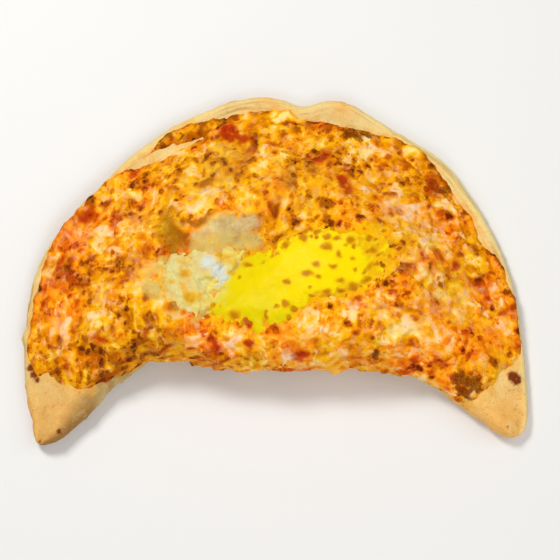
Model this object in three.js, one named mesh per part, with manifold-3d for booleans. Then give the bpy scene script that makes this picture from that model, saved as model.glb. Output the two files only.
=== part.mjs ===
// A baked calzone: a disc of pizza dough folded over its filling into a half moon, its two ends drawn
// forward into horns, with melted cheese browned over the top and an egg set in the middle.
// Millimetres, +Z up. The fold faces -Y, the sealed rim is on the +Y side, and the horns point to -Y.
import * as THREE from "three";
import { mergeVertices } from "three/addons/utils/BufferGeometryUtils.js";
import Module from "manifold-3d";

// Plan of the dough: the rim follows a circle, the fold is a line with a horn at each end.
const DISC_RADIUS = 140;
const RIM_ENDS = [198.4, -14.5]; // angles in degrees where the left and the right horn's end caps begin
const RIM_WAVES = [
  // angle, half width in degrees, height: the wavy sealed edge
  { at: -24, wide: 16, high: 12 },
  { at: 47, wide: 9, high: 3 },
  { at: 77, wide: 12, high: 6.5 },
  { at: 83, wide: 5, high: -6.5 },
  { at: 97, wide: 9, high: 3 },
  { at: 135, wide: 19, high: -5 },
  { at: 163, wide: 14, high: 2 },
  { at: 200, wide: 20, high: 4 },
];
const FOLD_Y = -13.4;
const FOLD_HALF = 119; // half the length of the fold between the end caps
const FOLD_WAVES = [
  { at: -63, wide: 30, high: 12 },
  { at: -92, wide: 6, high: 2.6 },
  { at: -110, wide: 26, high: -4.2 },
  { at: 112, wide: 22, high: -2.5 },
];
const LEFT_HORN = { bend: 115, slope: 1.7, soft: 29 };
const RIGHT_HORN = { bend: 75, slope: 0.7, soft: 8 };
const LEFT_CAP = { long: 9.5, lean: 2 }; // rounded end past the last section, leaning to the rim's side
const RIGHT_CAP = { long: 14.5, lean: 14 };
const FAN = 0.6; // how much closer together the sections lie along the fold's middle than at the horns

// Heights of the section from the fold to the rim.
const BODY_HEIGHT = 44;
const HORN_HEIGHT = 16;
const RIM_THICKNESS = 7.5;
const RIM_WIDTH = 13;
const HORN_RIM_WIDTH = 3;
const LIP = 1.4; // the rim's edge stands this much above the groove behind it
const FOLD_ROUND = 30; // how far the fold's rounding reaches over the top
const FOLD_UNDER = 13; // how far it reaches under the dough
const FOLD_MIDDLE = 0.4; // height of the fold's nose, as a share of the section's
const RIM_RISE = 58; // how far the dough takes to rise from the rim to its full height
const FOLD_POWER = 2.3;
const EGG_WELL = { x: -4, y: 33, across: 64, along: 34, deep: 5 };
const LUMP = 2; // height of the filling's lumps under the dough
const HORN_BLISTER = { x: 137, y: -19, radius: 4.4, high: 1.8 };

// The topping.
const TOPPING = { thick: 2.8, edge: 1, egg: 1.5, clear: 0.5, bed: 4 };
const TOPPING_ENDS = { foldLeft: 0.05, rimLeft: 0.079, foldRight: 0.953, rimRight: 0.937, lobes: 0.008 };
const TOPPING_HANG = 0.4; // how far it hangs over the fold's nose, as a share of the nose's underside
const BARE_RIM = 3; // bare dough between the topping and the rim's edge, wider at these two places
const BARE_RIM_WIDE = [
  { at: 84, wide: 22, more: 11 },
  { at: 30, wide: 18, more: 5.5 },
];
const BARE_FOLD = [
  // where the dough shows below the topping, on the horns' inner sides
  { at: -100, wide: 25, more: 8 },
  { at: 104, wide: 20, more: 6 },
];
const EDGE_LOBES = 1.6; // the melted edge's lobes
const BLISTER = { cell: 15, radius: 6.6, high: 1.6 };
const SHRED_RELIEF = 0.7;
const DRIPS = [
  // thick drops on the fold's nose
  { at: -17, wide: 4, more: 1.6 },
  { at: 35, wide: 6, more: 2.4 },
];

// The egg, as patches on the topping: middle and half sizes in plan.
const YOLK = { x: 12, y: 32, half: [52, 23], turn: 22, high: 2.6, edge: 0.9, waves: [0.05, 0.04], phase: 2.6 };
const WHITE = { x: -42, y: 35, half: [33, 25], turn: -20, high: 1.6, edge: 0.8, waves: [0.07, 0.06], phase: 2.1 };
const EGG_CLEAR = 0.8;

// Facets.
const ROWS = 48; // sections along the crescent
const CAP_ROWS = 4;
const TOP_COLUMNS = 22;
const UNDER_COLUMNS = 3;
const FLOOR_COLUMNS = 3;
const TOPPING_ROWS = 80;
const TOPPING_COLUMNS = 35;
const EGG_RINGS = 5;
const EGG_SPOKES = 36;

const { clamp, lerp, degToRad, smoothstep } = THREE.MathUtils;
const bell = (x, middle, wide) => Math.exp(-(((x - middle) / wide) ** 2));
const softRamp = (x, soft) => soft * Math.log1p(Math.exp(x / soft));
const waves = (list, x) => list.reduce((sum, w) => sum + (w.high ?? w.more) * bell(x, w.at, w.wide), 0);

// A repeatable number from 0 to 1 for a cell of the plan.
function chance(i, j, kind) {
  const s = Math.sin(i * 127.1 + j * 311.7 + kind * 74.7) * 43758.5453;
  return s - Math.floor(s);
}

// Plan: the rim's point and the fold's point of the section at u, from 0 at the left horn to 1 at the right.
const rimAngle = (u) => lerp(RIM_ENDS[0], RIM_ENDS[1], u);

function rimPoint(u) {
  const angle = rimAngle(u);
  const radius = DISC_RADIUS + waves(RIM_WAVES, angle);
  const a = degToRad(angle);
  return new THREE.Vector2(radius * Math.cos(a), radius * Math.sin(a));
}

function foldPoint(u) {
  const share = u + (FAN * Math.sin(2 * Math.PI * u)) / (2 * Math.PI);
  const x = lerp(-FOLD_HALF, FOLD_HALF, share);
  const horns =
    LEFT_HORN.slope * softRamp(-x - LEFT_HORN.bend, LEFT_HORN.soft) +
    RIGHT_HORN.slope * softRamp(x - RIGHT_HORN.bend, RIGHT_HORN.soft);
  return new THREE.Vector2(x, FOLD_Y - horns + waves(FOLD_WAVES, x));
}

// How much of the full body a section has: 0 on the horns, 1 over the filling.
const bodyShare = (u) => smoothstep(u, 0.0, 0.27) * (1 - smoothstep(u, 0.73, 1.0));

// Lumps of the filling and the hollow that the egg lies in, at a place in plan.
function fillingRelief(x, y) {
  const lumps =
    Math.sin(x / 16 + 0.6) * Math.cos(y / 14 - 0.3) + 0.7 * Math.sin(x / 9.5 - y / 12 + 1.9);
  const well = bell(Math.hypot((x - EGG_WELL.x) / EGG_WELL.across, (y - EGG_WELL.y) / EGG_WELL.along), 0, 0.75);
  return LUMP * lumps - EGG_WELL.deep * well;
}

// Height of the dough's top over a section of width w, d from its fold.
function topHeight(u, d, w, x, y) {
  const body = bodyShare(u);
  const height = lerp(HORN_HEIGHT, BODY_HEIGHT, body);
  const rim = lerp(HORN_RIM_WIDTH, RIM_WIDTH, body);
  const nose = FOLD_MIDDLE * height;
  const base = lerp(nose, RIM_THICKNESS, smoothstep(d, 0, 0.6 * w));
  const roundTo = Math.min(FOLD_ROUND, 0.45 * w);
  const fold = (1 - (1 - clamp(d / roundTo, 0, 1)) ** FOLD_POWER) ** (1 / FOLD_POWER);
  const rise = smoothstep(w - rim - d, 0, Math.min(RIM_RISE, 0.75 * w));
  const lip = LIP * body * (bell(w - d, 3.5, 3) - bell(w - d, rim, 4));
  const relief = body * fold * rise * fillingRelief(x, y);
  const blister = HORN_BLISTER.high * bell(Math.hypot(x - HORN_BLISTER.x, y - HORN_BLISTER.y), 0, HORN_BLISTER.radius);
  return base + (height - base) * fold * rise + lip + relief + blister;
}

// A point of the section at u. side 0 to 1 runs over the top from the fold's nose to the rim's edge,
// -1 to 0 runs under the nose from the floor, and 1 to 2 runs round under the rim's edge to the floor.
function sectionPoint(u, side) {
  const from = foldPoint(u);
  const to = rimPoint(u);
  const w = from.distanceTo(to);
  const body = bodyShare(u);
  const nose = FOLD_MIDDLE * lerp(HORN_HEIGHT, BODY_HEIGHT, body);
  const edge = Math.min(RIM_THICKNESS / 2, 0.25 * w);
  const under = Math.min(FOLD_UNDER, 0.4 * w);
  let d, z;
  const place = (at) => from.clone().lerp(to, at / w);
  if (side < 0) {
    const turn = (-side * Math.PI) / 2;
    d = under * (1 - Math.cos(turn));
    z = nose * (1 - Math.sin(turn));
  } else if (side <= 1) {
    d = (w * (1 - Math.cos(Math.PI * side))) / 2;
    const at = place(d);
    const full = topHeight(u, Math.min(d, w - edge), w, at.x, at.y);
    const drop = clamp((d - (w - edge)) / edge, 0, 1);
    z = lerp(edge, full, Math.sqrt(1 - drop * drop));
  } else {
    const turn = ((side - 1) * Math.PI) / 2;
    d = w - edge * (1 - Math.cos(turn));
    z = edge * (1 - Math.sin(turn));
  }
  const at = place(d);
  return new THREE.Vector3(at.x, at.y, z);
}

// The value of side on the top at d from the fold.
const sideAt = (d, w) => Math.acos(1 - (2 * clamp(d, 0, w)) / w) / Math.PI;

// The direction straight out of the dough at u and side.
function outward(u, side) {
  const step = 0.004;
  const along = sectionPoint(Math.min(u + step, 1), side).sub(sectionPoint(Math.max(u - step, 0), side));
  const across = sectionPoint(u, Math.min(side + step, 2)).sub(sectionPoint(u, Math.max(side - step, -1)));
  return along.cross(across).normalize();
}

// A closed mesh from points and triangles.
function solid(name, points, triangles, material) {
  const geometry = new THREE.BufferGeometry().setFromPoints(points).setIndex(triangles.flat());
  geometry.computeVertexNormals();
  const mesh = new THREE.Mesh(geometry, material);
  mesh.name = name;
  return mesh;
}

const wasm = await Module();
wasm.setup();

function asManifold(mesh) {
  const plain = mesh.geometry.clone();
  plain.deleteAttribute("normal");
  const merged = mergeVertices(plain, 1e-5);
  const [vertProperties, triVerts] = [merged.attributes.position.array, Uint32Array.from(merged.index.array)];
  return new wasm.Manifold(new wasm.Mesh({ numProp: 3, vertProperties, triVerts }));
}

// The mesh less the room of another.
function cut(mesh, room) {
  const { vertProperties, triVerts } = asManifold(mesh).subtract(asManifold(room)).getMesh();
  const geometry = new THREE.BufferGeometry();
  geometry.setAttribute("position", new THREE.BufferAttribute(Float32Array.from(vertProperties), 3));
  geometry.setIndex([...triVerts]);
  geometry.computeVertexNormals();
  mesh.geometry = geometry;
  return mesh;
}

// Triangles of a grid of points, stored row by row from index first. A looped grid joins its last
// column to its first, and turned faces look the other way.
function gridFaces(rows, columns, { first = 0, looped = false, turned = false } = {}) {
  const faces = [];
  const steps = looped ? columns : columns - 1;
  for (let i = 0; i < rows - 1; i++)
    for (let j = 0; j < steps; j++) {
      const a = first + i * columns + j;
      const b = first + i * columns + ((j + 1) % columns);
      const [c, d] = [a + columns, b + columns];
      faces.push(...(turned ? [[a, b, d], [a, d, c]] : [[a, d, b], [a, c, d]]));
    }
  return faces;
}

// The dough: sections from horn to horn, each a closed loop, with a rounded cap on each end. It can be
// grown outward to cut room for what lies on it.
function doughSolid(grown = 0) {
  const loop = [];
  for (let j = UNDER_COLUMNS; j > 0; j--) loop.push(-j / UNDER_COLUMNS);
  for (let j = 0; j <= TOP_COLUMNS; j++) loop.push(j / TOP_COLUMNS);
  for (let j = 1; j <= UNDER_COLUMNS; j++) loop.push(1 + j / UNDER_COLUMNS);
  const sectionLoop = (u) => {
    const ring = loop.map((side) => sectionPoint(u, side).addScaledVector(outward(u, side), grown));
    const [last, start] = [ring.at(-1), ring[0]];
    for (let j = 1; j < FLOOR_COLUMNS; j++) ring.push(last.clone().lerp(start, j / FLOOR_COLUMNS));
    return ring;
  };
  const capLoop = (u, cap, share) => {
    const turn = (share * Math.PI) / 2;
    const ring = sectionLoop(u);
    const [from, to] = [foldPoint(u), rimPoint(u)];
    const across = to.clone().sub(from).normalize();
    const out = u === 0 ? 1 : -1;
    const middle = new THREE.Vector3((from.x + to.x) / 2, (from.y + to.y) / 2, HORN_HEIGHT * FOLD_MIDDLE);
    const lean = across.clone().multiplyScalar(Math.sin(degToRad(cap.lean)));
    const straight = new THREE.Vector2(-across.y, across.x).multiplyScalar(out * Math.cos(degToRad(cap.lean)));
    const reach = lean.add(straight).multiplyScalar(cap.long * Math.sin(turn));
    const ahead = new THREE.Vector3(reach.x, reach.y, 0);
    return ring.map((p) => p.sub(middle).multiplyScalar(Math.cos(turn)).add(middle).add(ahead));
  };
  const rows = [];
  for (let i = CAP_ROWS - 1; i > 0; i--) rows.push(capLoop(0, LEFT_CAP, i / CAP_ROWS));
  for (let i = 0; i <= ROWS; i++) rows.push(sectionLoop(i / ROWS));
  for (let i = 1; i < CAP_ROWS; i++) rows.push(capLoop(1, RIGHT_CAP, i / CAP_ROWS));
  const columns = rows[0].length;
  const points = rows.flat();
  const faces = gridFaces(rows.length, columns, { looped: true });
  const tips = [capLoop(0, LEFT_CAP, 1)[0], capLoop(1, RIGHT_CAP, 1)[0]];
  const [leftTip, rightTip] = [points.length, points.length + 1];
  const lastRow = (rows.length - 1) * columns;
  for (let j = 0; j < columns; j++) {
    const next = (j + 1) % columns;
    faces.push([leftTip, j, next], [rightTip, lastRow + next, lastRow + j]);
  }
  return solid("dough", [...points, ...tips], faces, DOUGH);
}

// Where one row of the topping starts and ends on the section at u.
function toppingSpan(u) {
  const from = foldPoint(u);
  const w = from.distanceTo(rimPoint(u));
  const lobes = EDGE_LOBES * (1 + Math.sin(u * 61 + 1) + Math.sin(u * 97 + 2.3));
  const bareRim = BARE_RIM + waves(BARE_RIM_WIDE, rimAngle(u)) + lobes;
  const bareFold = waves(BARE_FOLD, from.x);
  const hang = TOPPING_HANG * clamp(1 - bareFold / 4, 0, 1);
  return [sideAt(bareFold, w) - hang, sideAt(w - bareRim, w)];
}

// The value of side at each column of the topping, evenly spaced along its section.
function evenSides(u) {
  const [start, end] = toppingSpan(u);
  const curve = new THREE.CurvePath();
  const fine = 4 * TOPPING_COLUMNS;
  for (let k = 0; k < fine; k++) {
    const [a, b] = [lerp(start, end, k / fine), lerp(start, end, (k + 1) / fine)];
    curve.add(new THREE.LineCurve3(sectionPoint(u, a), sectionPoint(u, b)));
  }
  const lengths = curve.getCurveLengths();
  return Array.from({ length: TOPPING_COLUMNS + 1 }, (_, j) => {
    const want = (lengths.at(-1) * j) / TOPPING_COLUMNS;
    const k = Math.max(0, lengths.findIndex((l) => l >= want - 1e-9));
    const before = k ? lengths[k - 1] : 0;
    const part = (want - before) / (lengths[k] - before);
    return lerp(start, end, (k + part) / fine);
  });
}

// Share of an egg patch's reach at a place in plan: 0 in its middle, 1 at its outline.
function patchReach(patch, x, y) {
  const turn = degToRad(patch.turn);
  const [dx, dy] = [x - patch.x, y - patch.y];
  const a = (dx * Math.cos(turn) + dy * Math.sin(turn)) / patch.half[0];
  const b = (dy * Math.cos(turn) - dx * Math.sin(turn)) / patch.half[1];
  const angle = Math.atan2(b, a);
  const outline =
    1 + patch.waves[0] * Math.sin(3 * angle + patch.phase) + patch.waves[1] * Math.sin(5 * angle - patch.phase);
  return Math.hypot(a, b) / outline;
}

// Relief of the melted cheese: blistered domes in a jittered grid, and ridges of melted shreds.
function cheeseRelief(x, y) {
  const [ci, cj] = [Math.floor(x / BLISTER.cell), Math.floor(y / BLISTER.cell)];
  let dome = 0;
  for (let i = ci - 1; i <= ci + 1; i++)
    for (let j = cj - 1; j <= cj + 1; j++) {
      const bx = (i + 0.15 + 0.7 * chance(i, j, 1)) * BLISTER.cell;
      const by = (j + 0.15 + 0.7 * chance(i, j, 2)) * BLISTER.cell;
      const radius = BLISTER.radius * (0.7 + 0.5 * chance(i, j, 3));
      dome = Math.max(dome, 1 - (Math.hypot(x - bx, y - by) / radius) ** 2);
    }
  const shreds = Math.sin(x / 2.9 + 2 * Math.sin(y / 7)) * Math.sin(y / 3.3 + 2 * Math.sin(x / 8));
  return BLISTER.high * Math.sqrt(dome) + SHRED_RELIEF * shreds;
}

// The topping: a sheet over the dough, thin at its edge, with the egg's bed pressed into it.
function toppingSolid() {
  const e = TOPPING_ENDS;
  const sides = Array.from({ length: TOPPING_ROWS + 1 }, (_, i) =>
    evenSides(lerp((e.foldLeft + e.rimLeft) / 2, (e.foldRight + e.rimRight) / 2, i / TOPPING_ROWS)));
  const top = [];
  const under = [];
  for (let i = 0; i <= TOPPING_ROWS; i++)
    for (let j = 0; j <= TOPPING_COLUMNS; j++) {
      const [along, across] = [i / TOPPING_ROWS, j / TOPPING_COLUMNS];
      const lobe = e.lobes * Math.sin(across * 13) * (1 - 2 * along);
      const left = lerp(e.foldLeft, e.rimLeft, across);
      const right = lerp(e.foldRight, e.rimRight, across);
      const u = lerp(left, right, along) + lobe;
      const side = sides[i][j];
      const out = outward(u, side);
      const foot = sectionPoint(u, side).addScaledVector(out, TOPPING.clear);
      const inset = Math.min(i, TOPPING_ROWS - i, j, TOPPING_COLUMNS - j);
      const share = smoothstep(inset, 0, 2);
      const egg = Math.min(patchReach(YOLK, foot.x, foot.y), patchReach(WHITE, foot.x, foot.y));
      const bed = smoothstep(egg, 1.05, 1.2);
      const drip = waves(DRIPS, foot.x) * (1 - smoothstep(foot.y, FOLD_Y + 2, FOLD_Y + 10));
      const full = lerp(TOPPING.egg, TOPPING.thick + cheeseRelief(foot.x, foot.y) + drip, bed);
      under.push(foot.clone().addScaledVector(out, -TOPPING.bed));
      top.push(foot.clone().addScaledVector(out, lerp(TOPPING.edge, full, share)));
    }
  const [rows, columns] = [TOPPING_ROWS + 1, TOPPING_COLUMNS + 1];
  const faces = [
    ...gridFaces(rows, columns),
    ...gridFaces(rows, columns, { first: top.length, turned: true }),
  ];
  const border = [];
  for (let i = 0; i < rows - 1; i++) border.push(i * columns);
  for (let j = 0; j < columns - 1; j++) border.push((rows - 1) * columns + j);
  for (let i = rows - 1; i > 0; i--) border.push(i * columns + columns - 1);
  for (let j = columns - 1; j > 0; j--) border.push(j);
  border.forEach((a, n) => {
    const b = border[(n + 1) % border.length];
    faces.push([a, a + top.length, b], [b, a + top.length, b + top.length]);
  });
  return cut(solid("cheese_topping", [...top, ...under], faces, CHEESE), doughSolid(TOPPING.clear));
}

// The section that passes over a place in plan, found by halving, and the side there.
function placeOver(x, y) {
  let [low, high] = [0, 1];
  for (let n = 0; n < 30; n++) {
    const u = (low + high) / 2;
    const [from, to] = [foldPoint(u), rimPoint(u)];
    const turn = (to.x - from.x) * (y - from.y) - (to.y - from.y) * (x - from.x);
    if (turn > 0) high = u;
    else low = u;
  }
  const u = (low + high) / 2;
  const [from, to] = [foldPoint(u), rimPoint(u)];
  return { u, side: sideAt(Math.hypot(x - from.x, y - from.y), from.distanceTo(to)) };
}

// A patch of egg: rings of points round its middle, a low dome above and the topping's bed below.
function eggSolid(name, patch, material, grown = 0) {
  const turn = degToRad(patch.turn);
  const foot = TOPPING.clear + TOPPING.egg + EGG_CLEAR - grown;
  const layer = (lift) => {
    const points = [];
    for (let ring = 0; ring <= EGG_RINGS; ring++)
      for (let k = 0; k < (ring ? EGG_SPOKES : 1); k++) {
        const angle = (2 * Math.PI * k) / EGG_SPOKES;
        const share = ring / EGG_RINGS;
        const outline =
          1 + patch.waves[0] * Math.sin(3 * angle + patch.phase) + patch.waves[1] * Math.sin(5 * angle - patch.phase);
        const a = (patch.half[0] * outline + grown) * share * Math.cos(angle);
        const b = (patch.half[1] * outline + grown) * share * Math.sin(angle);
        const x = patch.x + a * Math.cos(turn) - b * Math.sin(turn);
        const y = patch.y + a * Math.sin(turn) + b * Math.cos(turn);
        const { u, side } = placeOver(x, y);
        points.push(sectionPoint(u, side).addScaledVector(outward(u, side), foot + lift(share)));
      }
    return points;
  };
  const top = layer((share) => patch.edge + patch.high * Math.sqrt(1 - share ** 3) + 2 * grown);
  const points = [...top, ...layer(() => 0)];
  const faces = [];
  for (const first of [0, top.length]) {
    const turned = first === 0;
    for (let k = 0; k < EGG_SPOKES; k++) {
      const [a, b] = [first + 1 + k, first + 1 + ((k + 1) % EGG_SPOKES)];
      faces.push(turned ? [first, a, b] : [first, b, a]);
    }
    faces.push(...gridFaces(EGG_RINGS, EGG_SPOKES, { first: first + 1, looped: true, turned: !turned }));
  }
  const rim = top.length - EGG_SPOKES;
  for (let k = 0; k < EGG_SPOKES; k++) {
    const [a, b] = [rim + k, rim + ((k + 1) % EGG_SPOKES)];
    faces.push([a, a + top.length, b], [b, a + top.length, b + top.length]);
  }
  return solid(name, points, faces, material);
}

const DOUGH = new THREE.MeshStandardMaterial({ color: "#e6bf7c", roughness: 0.8, metalness: 0 });
const CHEESE = new THREE.MeshStandardMaterial({ color: "#e69a1e", roughness: 0.45, metalness: 0 });

const EGG_WHITE = new THREE.MeshStandardMaterial({ color: "#d9cfa0", roughness: 0.4, metalness: 0 });
const EGG_YOLK = new THREE.MeshStandardMaterial({ color: "#f0cf0a", roughness: 0.35, metalness: 0 });

const yolk = eggSolid("egg_yolk", YOLK, EGG_YOLK);
const white = cut(eggSolid("egg_white", WHITE, EGG_WHITE), eggSolid("yolk_room", YOLK, EGG_YOLK, EGG_CLEAR));

const calzone = new THREE.Group();
calzone.add(doughSolid(), toppingSolid(), white, yolk);

// The origin is under the middle of the whole, on the surface that it rests on.
const box = new THREE.Box3().setFromObject(calzone);
const middle = box.getCenter(new THREE.Vector3());
calzone.children.forEach((mesh) => mesh.position.set(-middle.x, -middle.y, -box.min.z));

export default calzone;
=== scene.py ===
"""A baked calzone: crust, melted topping and egg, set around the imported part."""
from itertools import product

import bpy
import numpy as np
from bpy.props import FloatProperty, FloatVectorProperty, PointerProperty
from bpy.types import Operator, Panel, PropertyGroup
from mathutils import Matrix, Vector


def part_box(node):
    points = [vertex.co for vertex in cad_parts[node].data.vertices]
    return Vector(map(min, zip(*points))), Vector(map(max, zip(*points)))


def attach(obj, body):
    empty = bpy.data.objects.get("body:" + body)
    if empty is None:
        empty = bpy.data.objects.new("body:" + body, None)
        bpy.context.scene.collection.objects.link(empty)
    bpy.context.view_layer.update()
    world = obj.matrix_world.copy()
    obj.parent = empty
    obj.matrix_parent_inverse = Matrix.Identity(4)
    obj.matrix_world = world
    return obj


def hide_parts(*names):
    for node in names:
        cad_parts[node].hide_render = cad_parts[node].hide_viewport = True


bl_info = {
    "name": "Calzone",
    "version": (1, 0, 0),
    "blender": (4, 5, 0),
    "location": "3D View > Sidebar > Calzone",
    "description": "Makes a baked calzone with a sealed rim, melted cheese and an egg",
    "category": "Add Mesh",
}

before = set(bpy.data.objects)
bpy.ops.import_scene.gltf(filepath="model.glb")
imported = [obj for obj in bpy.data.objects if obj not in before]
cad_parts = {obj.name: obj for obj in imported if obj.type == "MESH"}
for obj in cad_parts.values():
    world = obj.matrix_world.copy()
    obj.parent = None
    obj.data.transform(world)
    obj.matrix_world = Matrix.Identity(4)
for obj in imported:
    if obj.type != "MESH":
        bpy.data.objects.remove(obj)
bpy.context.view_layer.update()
MM = 0.001

# The dough's plan and section, in millimetres, as in the part
DISC_RADIUS = 140.0
RIM_ENDS = (198.4, -14.5)
RIM_WAVES = (
    (-24, 16, 12), (47, 9, 3), (77, 12, 6.5), (83, 5, -6.5), (97, 9, 3), (135, 19, -5), (163, 14, 2),
    (200, 20, 4),
)
FOLD_Y = -13.4
FOLD_HALF = 119.0
FOLD_WAVES = ((-63, 30, 12), (-92, 6, 2.6), (-110, 26, -4.2), (112, 22, -2.5))
LEFT_HORN = (115.0, 1.7, 29.0)
RIGHT_HORN = (75.0, 0.7, 8.0)
LEFT_CAP = (9.5, 2.0, 0.45)
RIGHT_CAP = (13.5, 4.0, 0.3)
FAN = 0.6
BODY_HEIGHT = 44.0
HORN_HEIGHT = 16.0
RIM_THICKNESS = 7.5
RIM_WIDTH = 13.0
HORN_RIM_WIDTH = 3.0
LIP = 1.4
FOLD_ROUND = 30.0
FOLD_UNDER = 13.0
FOLD_MIDDLE = 0.4
RIM_RISE = 58.0
FOLD_POWER = 2.3
BODY_ENDS = (0.27, 0.73)
BASE_FALL = 0.6
LIP_CREST = (3.5, 3.0)
GROOVE_WIDTH = 4.0
EGG_WELL = (-4.0, 33.0, 64.0, 34.0, 5.0)
LUMP = 2.0
HORN_BLISTER = (136.0, -21.0, 4.2, 1.8)

# Greatest shares of a narrow section for the fold's round, its underside, the rim's rise and the rim's edge
MOST_ROUND, MOST_UNDER, MOST_RISE, MOST_EDGE = 0.45, 0.4, 0.75, 0.25

# The melted edge: bare dough inside the rim by angle, where the topping ends on the horns, how far it hangs
# below the fold's nose and where the fold is bare
BARE_RIM = (
    (-20, 0), (3, 0.2), (12, 0.8), (18, 2.6), (22, 5), (27, 8.7), (33, 6.5), (38, 10.5), (44, 6.5),
    (51, 3.5), (55, 2), (60, 4.4), (66, 9.5), (73, 15), (78, 12.5), (83, 8), (86, 4), (90, 8.5), (103, 8.5),
    (112, 2.6), (119, 2), (123, 6), (127, 4.6), (133, 2), (140, 0.6), (146, 0.2), (155, 0.6), (161, 2),
    (167, 3.4), (172, 3), (178, 1.4), (185, 0.8), (200, 0.8),
)
END_LINE = (
    (-144, 0), (-137, -16), (-134, -23), (-128, -20), (-120, -28), (-112, -30.5), (-102, -30.5), (-98, -27),
    (-88, -23.5), (-69, -14), (-60, -40), (68, -40), (80, -26), (91, -31.5), (101, -35.5), (106, -36.7),
    (113, -36.6), (119, -31), (124, -28), (127, -20), (132, -17), (136, -15), (140, -10), (146, -7),
)
HANG = 8.0
BARE_FOLD = ((-100, 26, 11), (-72, 12, 5.5), (104, 22, 11.5))

# How far from the fold the plan is unrolled, how deep the melted edge is buried, and the run over which it
# rounds up where the topping is full and where it is thin
UNROLLED = (12.0, 45.0)
BURIED = -0.7
EDGE_ROUND, THIN_ROUND = 4.5, 7.0

# Drips on the fold: x, width and height, and their middle and width along the run from its nose
DRIPS = ((-17, 4, 1.6), (35, 6, 3.6), (-31, 5, 1.2), (6, 9, 0.6))
DRIP_RUN = (-1.0, 5.0)

# A bare tongue of dough in the topping: x, y and half width
TONGUE = (
    (-80, 104.5, 2.2), (-73, 106, 2.2), (-66, 108.5, 1.8), (-60, 111, 1.2), (-50, 115, 0.5),
    (-42, 118.5, -0.2),
)

# Bands of the topping: x, y and half width along a path
SMEAR_BAND = ((-16, 62, 4.0), (-20, 58, 6.5), (-32, 54.5, 5.5), (-44.5, 52, 2.5))
CRESCENT = ((-51, 62.4, 0.8), (-43, 60, 2.0), (-37.4, 62.1, 2.0), (-33.9, 66.1, 0.8))
# The hollow band is a dent beside the egg, painted olive and darker as shade
HOLLOW_BAND = ((-62, 68, 2.0), (-57.7, 58.2, 5.5), (-54, 48, 6.0), (-54, 42, 4.0))
MILK_BAND = ((-45, 48, 2.5), (-30, 49.5, 6.0), (-11, 52, 4.0))
RED_BAND = ((37, 92, 2.0), (40, 84, 3.8), (41, 75, 2.2))
LOBE = ((0, 127.5, 1.0), (8.5, 132.5, 1.8), (18, 128.5, 1.6))

# Soft margins of those bands
SMEAR_SOFT, CRESCENT_SOFT, HOLLOW_SOFT, MILK_SOFT, RED_SOFT, LOBE_SOFT = 6.0, 2.4, 8.0, 4.0, 4.5, 1.5

# Zones of the topping: x, y, radius and strength
SMEAR_SPOTS = ((-36, 77, 5, 0.35),)
SMOOTH_SPOTS = (
    (38, -10, 9, 1), (36, -20, 8, 1), (122, 4, 9, 0.7), (96, 92, 9, 0.5), (-66, 78, 7, 0.7),
    (-122, 4, 11, 1), (-36, 77, 8, 0.9),
)
SAUCE_SPOTS = (
    (-117, 44, 9, 0.7), (-128, 33, 8, 0.6), (-131, 24, 8, 0.5), (-122, 59, 8, 0.6), (-109, 62, 8, 0.6),
    (-115, 0, 5, 0.7), (-120, 45, 5, 1), (-111, 69, 6, 0.8), (-96, -4, 5, 0.9), (-70, 2, 5, 0.8),
    (-61, -4, 5, 0.8), (-25, 119, 8, 1.5), (-18, 116, 7, 1), (24, 101, 6, 1), (99, 40, 7, 0.7),
    (128, 18, 4, 0.6), (117, 32, 8, 0.6), (89, 88, 8, 0.6), (121, 35, 6, 0.7), (-35, -10, 4, 1.1),
    (-34, -16, 5, 0.9), (-13, -11, 4, 1), (-24, -20, 8, 0.6), (15, -16, 9, 0.6), (100, 66, 8, 0.4),
    (70, -2, 8, 0.5), (96, -12, 9, 0.3),
)
# (36, -18) is painted light on the front of the fold, where shade falls
PALE_SPOTS = (
    (-124, -1, 8, 0.9), (-111, 56, 7, 0.8), (-89, 60, 9, 0.7), (-67, 42, 9, 0.2), (-70, 30, 8, 0.2),
    (-100, 82, 6, 0.5), (-88, 84, 6, 0.5), (-71, 95, 7, 0.5), (-66, 101, 5, 0.8), (-54, 107, 5, 0.8),
    (-97, 9, 8, 0.8), (-44, 72, 5, 1.1), (-35, 78, 7, 1.2), (-20, 78, 7, 0.6), (52, 108, 7, 0.7),
    (68, 76, 8, 1.1), (77, 70, 8, 1.1), (83, 59, 8, 0.9), (71, 80, 7, 0.9), (57, 11, 10, 0.9),
    (128, 12, 8, 0.5), (94, -2, 8, 0.6), (86, 5, 8, 0.6), (120, 21, 8, 0.7), (-44, -10, 4, 1),
    (-22, -8, 5, 0.9), (9, -20, 5, 1), (20, 1.5, 5, 1), (43, 11, 7, 1), (40, 13, 8, 0.7), (71, 8, 8, 0.8),
    (20, 3, 7, 0.7), (32, 6, 7, 0.4), (-114, 69, 8, 0.7), (-94, 60, 7, 0.6), (-89, 24, 10, 0.5),
    (-97, 3, 8, 0.7), (-79, 50, 9, 0.5), (-72, 24, 9, 0.5), (62, 62, 9, 0.4), (52, 72, 7, 0.4),
    (104, 20, 9, 0.7), (88, 30, 10, 0.6), (70, 109, 7, 0.8), (68, 92, 7, 0.8), (14, 60, 8, 0.5),
    (95, 64, 8, 0.6), (111, 66, 6, 0.6), (109, 51, 8, 0.9), (-137, -4, 6, 0.9), (-26, -14, 6, 0.5),
    (36, -18, 8, 0.7), (-17, 133, 6, 0.8), (-14, 134, 6, 0.9), (-12, 100, 8, 0.7), (54, 85, 7, 0.8),
    (68, 74, 8, 1.3), (95, 78, 8, 1), (94, 55, 9, 0.9), (109, 54, 8, 0.9), (54, 3, 8, 0.6),
    (-127, 42, 6, 0.8), (-116, 64, 7, 0.7), (35, 3, 7, 0.5),
)
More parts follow.
